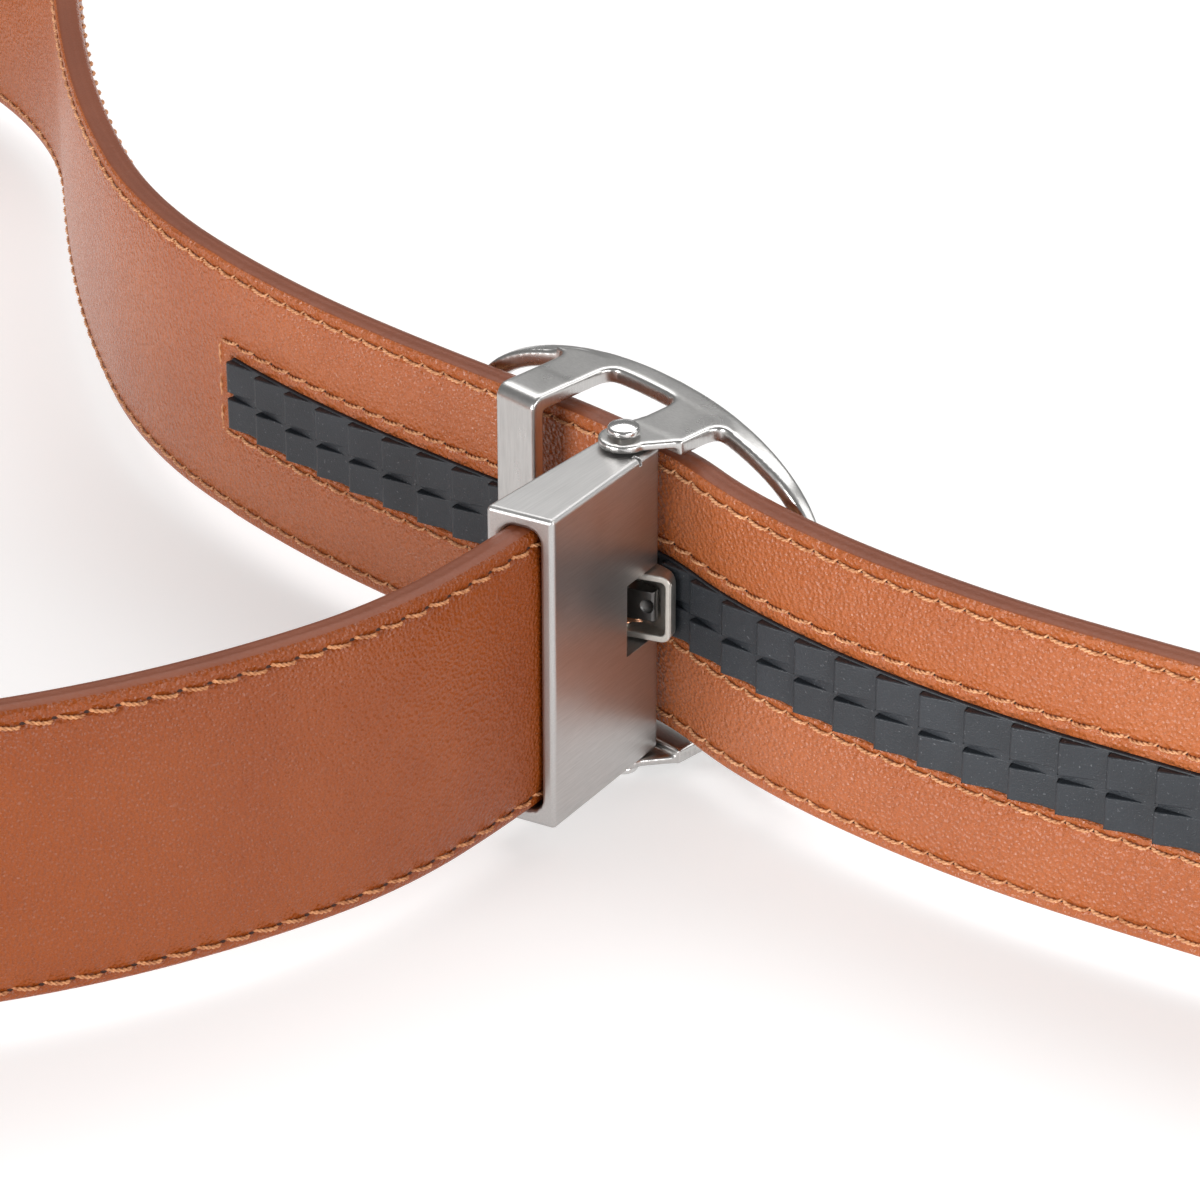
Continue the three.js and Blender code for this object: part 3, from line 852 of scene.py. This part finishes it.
def keeper_outline():
    top, r = FRAME_HALF, KEEPER_CORNER
    inside = top - ARM_THICKNESS
    face, back = -KEEPER_CLEAR, -KEEPER_CLEAR + KEEPER_BAR
    points = [(FRAME_REACH, top), (face + r, top)]
    points += arc_points(face + r, top - r, r, 90, 90, 8)
    points += arc_points(face + r, -top + r, r, 180, 90, 8)
    points += [(FRAME_REACH, -top), (FRAME_REACH, -inside), (back, -inside)]
    return points + [(back, inside), (FRAME_REACH, inside)]


def lug_outline():
    left, right = PIVOT_ARM_CENTRE - PIVOT_ARM_WIDTH / 2, PIVOT_ARM_CENTRE + PIVOT_ARM_WIDTH / 2
    points = [(right - FIT_GAP, FRAME_REACH), (left, FRAME_REACH)]
    points += arc_points(*PIVOT, LUG_RADIUS, 180, 180, 12)
    return points + [(right - FIT_GAP, LUG_STEP)]


def frame_piece():
    left = KEEPER_CENTRE - KEEPER_WIDTH / 2
    parts = [ring_shape(), extruded(keeper_outline(), left, left + KEEPER_WIDTH, axis="X")]
    for side in (-1, 1):
        outer = side * (FRAME_HALF - ARM_SUNK)
        low, high = sorted((outer, side * (FRAME_HALF - ARM_THICKNESS)))
        keeper_arm = arm_outline(KEEPER_CENTRE, KEEPER_WIDTH, FRAME_REACH - FIT_GAP)
        parts.append(extruded(keeper_arm, low, high))
        parts.append(extruded(arm_outline(PIVOT_ARM_CENTRE, PIVOT_ARM_WIDTH, LUG_STEP), low, high))
        low, high = sorted((outer - side * ARM_SUNK, side * (FRAME_HALF - LUG_THICKNESS)))
        parts.append(extruded(lug_outline(), low, high))
    obj = mesh_object("buckle_frame_cast", *joined(parts))
    remesh = obj.modifiers.new("cast", "REMESH")
    remesh.mode = "VOXEL"
    remesh.voxel_size = CAST_VOXEL * MM
    remesh.use_smooth_shade = True
    smooth = obj.modifiers.new("tumbled", "SMOOTH")
    smooth.factor = 0.5
    smooth.iterations = CAST_SMOOTHING
    bpy.context.view_layer.update()
    applied(obj)
    shaded_smooth(obj)
    return obj


# Clamp box
BOX_ROUND = 0.6
CUT_ROUND = 0.04
SHARP_ANGLE = 40


def box_piece():
    mouth, back, r = BOX_MOUTH_WIDTH / 2, BOX_BACK_WIDTH / 2, BOX_CORNER
    outline = [(BOX_DEPTH + BOX_MOUTH_SKEW, -mouth), (BOX_DEPTH - BOX_MOUTH_SKEW, mouth)]
    outline += arc_points(-BOX_BACK + r, back - r, r, 90, 90, 6)
    outline += arc_points(-BOX_BACK + r, -back + r, r, 180, 90, 6)
    solid = extruded(outline, -BOX_HALF, BOX_HALF)
    obj = mesh_object("clamp_box_shell", *solid, place=BOX, smooth=False)
    width, height = HALF_THICK + FIT_GAP, HALF_WIDTH + FIT_GAP
    cavity = rounded_rect(-width, -height, width, height, CAVITY_CORNER)
    cut(obj, *extruded(cavity, CAVITY_BACK, BOX_DEPTH + 2 * CUT_MARGIN, axis="X"))
    bevelled(obj, BOX_ROUND, segments=5, angle=SHARP_ANGLE)
    notch_half = PAWL_HEIGHT / 2 + FIT_GAP
    wall = -back + NOTCH_WALL
    behind, beyond = -BOX_BACK - CUT_MARGIN, mouth + CUT_MARGIN
    notch = [(behind, wall), (NOTCH_DEPTH, wall), (NOTCH_DEPTH, beyond), (behind, beyond)]
    cut(obj, *extruded(notch, PAWL_LIFT - notch_half, PAWL_LIFT + notch_half))
    slit = [(SLIT_PLACE, back - SLIT_DEPTH), (SLIT_PLACE + SLIT_WIDTH, back - SLIT_DEPTH),
            (SLIT_PLACE + SLIT_WIDTH, mouth), (SLIT_PLACE, mouth)]
    cut(obj, *extruded(slit, BOX_HALF - SLIT_DEPTH, BOX_HALF + CUT_MARGIN))
    bevelled(obj, CUT_ROUND, segments=2, angle=50)
    shaded_smooth(obj)
    obj.data.set_sharp_from_angle(angle=math.radians(SHARP_ANGLE))
    flat = obj.modifiers.new("flat", "WEIGHTED_NORMAL")
    flat.weight = 100
    flat.keep_sharp = True
    bpy.context.view_layer.update()
    return applied(obj)


def lathe(profile, segments=48):
    """A profile of radius and height, turned about Z."""
    verts = []
    for r, z in profile:
        for k in range(segments):
            a = 2 * math.pi * k / segments
            verts.append((r * math.cos(a), r * math.sin(a), z))
    return verts, skin(len(profile), segments)


# Rivets of the buckle hinge
RIVET_STUB = 3.0
RIVET_CHAMFER = 0.12
RIVET_RIM = 0.5
RIVET_CROWN = 0.3
RIVET_CROWN_STEPS = 8
RIVET_CENTRE = 0.2


def rivet_piece(name, side):
    head = RIVET_HEAD / 2
    top = head - RIVET_CORNER
    profile = [(RIVET_SHANK / 2, -RIVET_STUB), (RIVET_SHANK / 2, 0.0)]
    profile += [(head - RIVET_CHAMFER, 0.0), (head, RIVET_CHAMFER)]
    profile += arc_points(top, RIVET_RIM, RIVET_CORNER, 0, 90, 6)
    for i in range(1, RIVET_CROWN_STEPS + 1):
        share = 1 - i / (RIVET_CROWN_STEPS + RIVET_CENTRE)
        profile.append((top * share, RIVET_DOME - RIVET_CROWN * share ** 2))
    flip = Matrix.Identity(4) if side > 0 else Matrix.Rotation(math.pi, 4, "X")
    place = BELT @ moved(*PIVOT, side * (FRAME_HALF + FIT_GAP)) @ flip
    return mesh_object(name, *lathe(profile), place=place)


# Pawl, in its own frame: the pin at the origin, +X to the nose, +Y to the track
PAWL_OPEN_END = 5.0
PAWL_ROUND = 0.22
BLOCK_ROUND = 0.12
SPRING_TURNS = 2.5
SPRING_RADIUS = 0.85
SPRING_WIRE = 0.15
SPRING_STEPS = 47
SPRING_ABOVE_SHEET = 0.5
SPRING_BELOW_BLOCK = 0.2
# The spring's two legs: how far beside the pin they start, and how far below the coils' top
SPRING_LEGS = ((-1.0, 0.0), (-0.78, 0.34))
# A leg's points: out from the pin, aside and up
LEG_POINTS = ((0.0, 0.0, 0.0), (0.7, 0.0, 0.0), (1.5, 0.05, 0.02), (2.3, 0.2, 0.06))


def strap_side(wall):
    """What stands beyond the track's teeth, less a wall's thickness, as seen from the pawl."""
    limit = STRAP_AT_BUCKLE[1] - HALF_THICK - TOOTH_RISE - FIT_GAP - wall
    pin = turned(PAWL_PIN, BOX_SWING)
    pin = (pin[0] + PIVOT[0], pin[1] + PIVOT[1])
    far = BOX_DEPTH
    corners = [(-far, limit), (far, limit), (far, far), (-far, far)]
    back = -(BOX_SWING + PAWL_ANGLE)
    outline = [turned((u - pin[0], v - pin[1]), back) for u, v in corners]
    return extruded(outline, -PAWL_HEIGHT, PAWL_HEIGHT)


def kept_front(obj, end, half, corner, margin):
    """Keeps what of the object is inside a rounded outline, as seen from the front."""
    rounded = rounded_rect(-PAWL_LENGTH - PAWL_OPEN_END, -half, end, half, corner)
    flat, faces = extruded(rounded, -PAWL_BACK - margin, PAWL_BACK + margin)
    kept(obj, [(x, -y, z) for x, z, y in flat], faces)


def pawl_piece():
    half, inside = PAWL_HEIGHT / 2, PAWL_HEIGHT / 2 - PAWL_SHEET
    end = PAWL_LENGTH - PAWL_SHEET
    outline = [(0, -PAWL_FRONT), (PAWL_LENGTH - PAWL_NOSE, -PAWL_FRONT)]
    nose = (PAWL_LENGTH, -PAWL_FRONT + PAWL_NOSE)
    outline += curve_points(outline[-1], (PAWL_LENGTH, -PAWL_FRONT), nose)
    outline += [(PAWL_LENGTH, PAWL_BACK), (PAWL_FRONT, PAWL_BACK)]
    outline += arc_points(0, 0, PAWL_FRONT, 90, 180, 16)[:-1]
    obj = mesh_object("pawl_hood", *extruded(outline, -half, half), place=PAWL, smooth=False)
    kept_front(obj, PAWL_LENGTH, half, PAWL_CORNER, CUT_MARGIN)
    cut(obj, *strap_side(0))
    front = -PAWL_FRONT - CUT_MARGIN
    back = [(-PAWL_LENGTH, front), (end, front), (end, PAWL_BACK), (-PAWL_LENGTH, PAWL_BACK)]
    hollow = mesh_object("hollow", *extruded(back, -inside, inside), place=PAWL, smooth=False)
    kept_front(hollow, end, inside, PAWL_INNER_CORNER, 2 * CUT_MARGIN)
    cut(hollow, *strap_side(PAWL_SHEET))
    cut_by(obj, hollow)
    return bevelled(obj, PAWL_ROUND, segments=4, angle=40)


def block_piece():
    half = BLOCK_HEIGHT / 2
    front, end = -PAWL_FRONT + FIT_GAP, PAWL_LENGTH - BLOCK_END
    outline = rounded_rect(-BLOCK_TAIL, front, end, front + BLOCK_DEPTH, BLOCK_CORNER)
    solid = extruded(outline, -half, half)
    obj = mesh_object("pawl_block_body", *solid, place=PAWL, smooth=False)
    cut(obj, *strap_side(PAWL_SHEET + FIT_GAP))
    ball = arc_points(0, 0, BLOCK_DIMPLE, -90, 180, 10)
    verts, faces = lathe([(max(0.01, r), z) for r, z in ball], segments=24)
    middle = end - BLOCK_DIMPLE_INSET
    cut(obj, [(x + middle, y * BLOCK_DIMPLE_DEPTH + front, z) for x, y, z in verts], faces)
    return bevelled(obj, BLOCK_ROUND, segments=3, angle=40)


def spring_piece():
    """The pawl's small torsion spring: coils round the pin, and two legs under the block."""
    low = -PAWL_HEIGHT / 2 + PAWL_SHEET + SPRING_ABOVE_SHEET
    high = -BLOCK_HEIGHT / 2 - SPRING_BELOW_BLOCK
    points = []
    for i in range(SPRING_STEPS + 1):
        t = i / SPRING_STEPS
        a = 2 * math.pi * SPRING_TURNS * t - math.pi / 2
        x, y = SPRING_RADIUS * math.cos(a), SPRING_RADIUS * math.sin(a)
        points.append((x, y, low + (high - low) * t))
    parts = [tube(points, SPRING_WIRE, sides=8)]
    for y, below in SPRING_LEGS:
        leg = [(out, y + aside, high - below + up) for out, aside, up in LEG_POINTS]
        parts.append(tube(leg, SPRING_WIRE, sides=8))
    return mesh_object("pawl_spring", *joined(parts), place=PAWL)


# Materials. Noise scales are in cells a metre, and depths of relief in metres.
LEATHER_TONE_SCALE = 38
LEATHER_SOFT_SCALE = 260
LEATHER_FINE_SCALE = 3600
LEATHER_SOFT_DEPTH = 0.0004
LEATHER_CELL_DEPTH = 0.00026
LEATHER_FINE_DEPTH = 0.0001
STEEL_CLOUD_SCALE = 140
BRUSH_DEPTH = 0.00002
WORN_DEPTH = 0.00004
RUBBER_TONE_SCALE = 120
RUBBER_SPECK_SCALE = 3300
RUBBER_FINE_SCALE = 5200
RUBBER_FINE_DEPTH = 0.0001
THREAD_TONE_SCALE = 1500
THREAD_FINE_SCALE = 9000
THREAD_FINE_DEPTH = 0.00003
HOLE_TONE_SCALE = 900
HOLE_DEPTH = 0.00004
FLOOR_TONE_SCALE = 3


def material(name):
    mat = bpy.data.materials.new(name)
    mat.use_nodes = True
    nodes, links = mat.node_tree.nodes, mat.node_tree.links
    return mat, nodes, links, nodes["Principled BSDF"]


def ramp(nodes, links, source, stops):
    """Colours along a source's value, as (position, colour) stops."""
    node = nodes.new("ShaderNodeValToRGB")
    elements = node.color_ramp.elements
    while len(elements) < len(stops):
        elements.new(0.5)
    for element, (position, colour) in zip(elements, stops):
        element.position = position
        element.color = (*colour, 1)
    links.new(source, node.inputs[0])
    return node.outputs[0]


def grey(value):
    return (value, value, value)


def noise(nodes, links, coords, scale, detail=3.0, roughness=0.5, stretch=None):
    vector = coords
    if stretch:
        mapping = nodes.new("ShaderNodeMapping")
        mapping.inputs["Scale"].default_value = stretch
        links.new(coords, mapping.inputs["Vector"])
        vector = mapping.outputs[0]
    node = nodes.new("ShaderNodeTexNoise")
    node.inputs["Scale"].default_value = scale
    node.inputs["Detail"].default_value = detail
    node.inputs["Roughness"].default_value = roughness
    links.new(vector, node.inputs["Vector"])
    return node.outputs[0]


def bump(nodes, links, height, distance, strength, under=None):
    node = nodes.new("ShaderNodeBump")
    node.inputs["Strength"].default_value = strength
    node.inputs["Distance"].default_value = distance
    links.new(height, node.inputs["Height"])
    if under:
        links.new(under, node.inputs["Normal"])
    return node.outputs[0]


def object_coords(nodes):
    return nodes.new("ShaderNodeTexCoord").outputs["Object"]


def leather(name, dark, mid, light, grain, cell, rough, shine):
    """Grained leather. grain is the strength of its relief and cell the size of a pore, in mm."""
    mat, nodes, links, bsdf = material(name)
    coords = object_coords(nodes)
    tone = noise(nodes, links, coords, LEATHER_TONE_SCALE, detail=6, roughness=0.6)
    colour = ramp(nodes, links, tone, [(0.3, dark), (0.52, mid), (0.78, light)])
    links.new(colour, bsdf.inputs["Base Color"])
    cells = nodes.new("ShaderNodeTexVoronoi")
    cells.inputs["Scale"].default_value = 1 / (cell * MM)
    links.new(coords, cells.inputs["Vector"])
    fine = noise(nodes, links, coords, LEATHER_FINE_SCALE, detail=3)
    soft = noise(nodes, links, coords, LEATHER_SOFT_SCALE, detail=4)
    relief = bump(nodes, links, soft, LEATHER_SOFT_DEPTH, 0.25)
    relief = bump(nodes, links, cells.outputs["Distance"], LEATHER_CELL_DEPTH, grain, relief)
    relief = bump(nodes, links, fine, LEATHER_FINE_DEPTH, grain, relief)
    links.new(relief, bsdf.inputs["Normal"])
    gloss = ramp(nodes, links, fine, [(0.3, grey(rough - 0.07)), (0.7, grey(rough + 0.1))])
    links.new(gloss, bsdf.inputs["Roughness"])
    bsdf.inputs["Specular IOR Level"].default_value = shine
    return mat


def steel(name, colour, rough, stretch, strength, depth=WORN_DEPTH):
    """Brushed or worn steel. stretch gives the noise's scale along each axis."""
    mat, nodes, links, bsdf = material(name)
    coords = object_coords(nodes)
    brushed = noise(nodes, links, coords, 1.0, detail=3, roughness=0.7, stretch=stretch)
    cloud = noise(nodes, links, coords, STEEL_CLOUD_SCALE)
    bsdf.inputs["Metallic"].default_value = 1.0
    tint = ramp(nodes, links, brushed, [(0.3, tuple(c * 0.84 for c in colour)), (0.7, colour)])
    links.new(tint, bsdf.inputs["Base Color"])
    gloss = ramp(nodes, links, cloud, [(0.2, grey(rough - 0.03)), (0.8, grey(rough + 0.04))])
    links.new(gloss, bsdf.inputs["Roughness"])
    links.new(bump(nodes, links, brushed, depth, strength), bsdf.inputs["Normal"])
    return mat


def rubber():
    mat, nodes, links, bsdf = material("track_rubber")
    coords = object_coords(nodes)
    tone = noise(nodes, links, coords, RUBBER_TONE_SCALE, detail=5)
    speck = noise(nodes, links, coords, RUBBER_SPECK_SCALE, detail=2)
    black = [(0.3, (0.015, 0.0185, 0.0235)), (0.7, (0.024, 0.029, 0.036))]
    base = ramp(nodes, links, tone, black)
    dust = ramp(nodes, links, speck, [(0.66, grey(0.0)), (0.76, (0.11, 0.115, 0.12))])
    add = nodes.new("ShaderNodeMix")
    add.data_type = "RGBA"
    add.blend_type = "ADD"
    add.inputs[0].default_value = 1.0
    links.new(base, add.inputs[6])
    links.new(dust, add.inputs[7])
    links.new(add.outputs[2], bsdf.inputs["Base Color"])
    bsdf.inputs["Roughness"].default_value = 0.46
    bsdf.inputs["Specular IOR Level"].default_value = 0.5
    fine = noise(nodes, links, coords, RUBBER_FINE_SCALE, detail=2)
    links.new(bump(nodes, links, fine, RUBBER_FINE_DEPTH, 0.7), bsdf.inputs["Normal"])
    return mat


def thread(name, dark, light):
    mat, nodes, links, bsdf = material(name)
    coords = object_coords(nodes)
    tone = noise(nodes, links, coords, THREAD_TONE_SCALE, detail=2)
    links.new(ramp(nodes, links, tone, [(0.3, dark), (0.7, light)]), bsdf.inputs["Base Color"])
    bsdf.inputs["Roughness"].default_value = 0.55
    fine = noise(nodes, links, coords, THREAD_FINE_SCALE)
    links.new(bump(nodes, links, fine, THREAD_FINE_DEPTH, 0.4), bsdf.inputs["Normal"])
    return mat


# Painted shade: the near-black colour of the discs that stand in for the shade inside the needle
# holes.
def hole_shade_material(name, colour):
    mat, nodes, links, bsdf = material(name)
    coords = object_coords(nodes)
    tone = noise(nodes, links, coords, HOLE_TONE_SCALE)
    tint = ramp(nodes, links, tone, [(0.3, tuple(c * 0.8 for c in colour)), (0.7, colour)])
    links.new(tint, bsdf.inputs["Base Color"])
    bsdf.inputs["Roughness"].default_value = 0.8
    links.new(bump(nodes, links, tone, HOLE_DEPTH, 0.3), bsdf.inputs["Normal"])
    return mat


LEATHER = leather(
    "cognac_leather", (0.225, 0.044, 0.005), (0.255, 0.054, 0.007), (0.288, 0.066, 0.0105),
    grain=0.7, cell=0.45, rough=0.25, shine=0.36)
LINING = leather(
    "lining_leather", (0.38, 0.093, 0.021), (0.425, 0.112, 0.028), (0.47, 0.133, 0.038),
    grain=0.95, cell=0.54, rough=0.25, shine=0.52)
EDGE = leather(
    "painted_edge_leather", (0.20, 0.050, 0.018), (0.24, 0.064, 0.025), (0.27, 0.078, 0.032),
    grain=0.1, cell=0.54, rough=0.42, shine=0.3)
RUBBER = rubber()
THREAD = thread("tan_thread", (0.34, 0.11, 0.035), (0.72, 0.34, 0.15))
THREAD_IN = thread("lining_thread", (0.46, 0.17, 0.06), (0.88, 0.48, 0.25))
# Painted shade for the needle holes: a near-black brown on the hole discs.
HOLE_SHADE = hole_shade_material("stitch_hole_painted_shade", (0.035, 0.010, 0.005))
BOX_STEEL = steel(
    "box_satin_steel", (0.55, 0.54, 0.53), rough=0.4, stretch=(160, 5200, 5200),
    strength=0.3, depth=BRUSH_DEPTH)
FRAME_STEEL = steel(
    "frame_satin_steel", (0.60, 0.59, 0.575), rough=0.28, stretch=(2200, 5200, 220),
    strength=0.3, depth=BRUSH_DEPTH)
RIVET_STEEL = steel(
    "rivet_polished_steel", (0.74, 0.73, 0.72), rough=0.16, stretch=grey(700), strength=0.15)
PAWL_STEEL = steel(
    "pawl_worn_steel", (0.72, 0.69, 0.64), rough=0.46, stretch=grey(1800), strength=0.4)
DARK_STEEL = steel(
    "dark_oiled_steel", (0.14, 0.138, 0.135), rough=0.3, stretch=grey(800), strength=0.3)
COPPER = steel(
    "copper_spring_wire", (0.62, 0.33, 0.2), rough=0.28, stretch=grey(1500), strength=0.2)


def dressed(obj, body, mats, node=None):
    """Gives a piece its materials, keeping its faces' slots, and its body, and hides the CAD node it
    stands for.
    """
    slots = [polygon.material_index for polygon in obj.data.polygons]
    for mat in mats:
        obj.data.materials.append(mat)
    for polygon, index in zip(obj.data.polygons, slots):
        polygon.material_index = index
    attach(obj, body)
    if node:
        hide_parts(node)


dressed(strap_piece(), "belt", [LEATHER, LINING, EDGE], "strap")
outer_stitches, lining_stitches, stitch_hole_shades = stitching()
dressed(outer_stitches, "belt", [THREAD])
dressed(lining_stitches, "belt", [THREAD_IN])
# The needle holes' painted shade, as dark discs.
dressed(stitch_hole_shades, "belt", [HOLE_SHADE])
dressed(track_piece(), "belt", [RUBBER], "track")
dressed(frame_piece(), "belt", [FRAME_STEEL], "buckle_frame")
dressed(box_piece(), "belt", [BOX_STEEL], "clamp_box")
for node, side in (("rivet_top", 1), ("rivet_bottom", -1)):
    dressed(rivet_piece(node + "_dome", side), "belt", [RIVET_STEEL], node)
dressed(pawl_piece(), "pawl", [PAWL_STEEL], "pawl")
dressed(block_piece(), "pawl", [DARK_STEEL], "pawl_block")
dressed(spring_piece(), "pawl", [COPPER])

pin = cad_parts["pawl_pin"]
pin.data.materials.clear()
pin.data.materials.append(PAWL_STEEL)


# Floor, light and camera. Places are in metres, in the row frame, and powers in watts.
FLOOR_HALF = 6000
FLOOR_GLOW = 0.45
WORLD_STRENGTH = 0.26
CAMERA_LENS = 138
CAMERA_SENSOR = 36
CAMERA_CLIP = (0.01, 50)
# The camera's place from the hinge at the strap's mid height, in millimetres, and its dip
CAMERA_OFFSET = (-2.62, -450.86, 255.07)
CAMERA_DIP = 29.5


def floor():
    mat, nodes, links, bsdf = material("studio_floor")
    coords = object_coords(nodes)
    tone = noise(nodes, links, coords, FLOOR_TONE_SCALE, detail=2)
    tint = ramp(nodes, links, tone, [(0.2, grey(0.71)), (0.8, grey(0.73))])
    links.new(tint, bsdf.inputs["Base Color"])
    bsdf.inputs["Roughness"].default_value = 0.9
    bsdf.inputs["Specular IOR Level"].default_value = 0.1
    bsdf.inputs["Emission Color"].default_value = (1, 1, 1, 1)
    bsdf.inputs["Emission Strength"].default_value = FLOOR_GLOW
    corners = [(x * FLOOR_HALF, y * FLOOR_HALF, 0) for x, y in ((-1, -1), (1, -1), (1, 1), (-1, 1))]
    obj = mesh_object("floor", corners, [(0, 1, 2, 3)], place=Matrix.Identity(4), smooth=False)
    obj.data.materials.append(mat)


def softbox(name, place, target, size, power):
    data = bpy.data.lights.new(name, "AREA")
    data.shape = "RECTANGLE"
    data.size, data.size_y = size
    data.energy = power
    obj = bpy.data.objects.new(name, data)
    bpy.context.scene.collection.objects.link(obj)
    obj.location = place
    obj.rotation_euler = (Vector(target) - Vector(place)).to_track_quat("-Z", "Y").to_euler()
    obj.visible_camera = False


floor()
centre = (hinge[0], hinge[1], mid_height)
softbox("top_light", (0.12, 0.6, 1.05), centre, (1.4, 0.8), 9)
softbox("left_light", (-0.88, -0.92, 0.25), centre, (0.7, 0.36), 12.5)
softbox("front_light", (0.72, -0.95, 0.3), centre, (0.8, 0.36), 6.5)
softbox("right_light", (1.0, -0.1, 0.6), centre, (0.5, 0.8), 3)

world = bpy.data.worlds.new("studio")
bpy.context.scene.world = world
world.use_nodes = True
background = world.node_tree.nodes["Background"]
background.inputs[0].default_value = (1, 1, 1, 1)
background.inputs[1].default_value = WORLD_STRENGTH

camera_data = bpy.data.cameras.new("camera")
camera_data.lens = CAMERA_LENS
camera_data.sensor_width = CAMERA_SENSOR
camera_data.clip_start, camera_data.clip_end = CAMERA_CLIP
camera = bpy.data.objects.new("camera", camera_data)
bpy.context.scene.collection.objects.link(camera)
camera.location = Vector(centre) + Vector(CAMERA_OFFSET) * MM
camera.rotation_euler = (math.radians(90 - CAMERA_DIP), 0, 0)
bpy.context.scene.camera = camera
bpy.context.scene.view_settings.view_transform = "Standard"
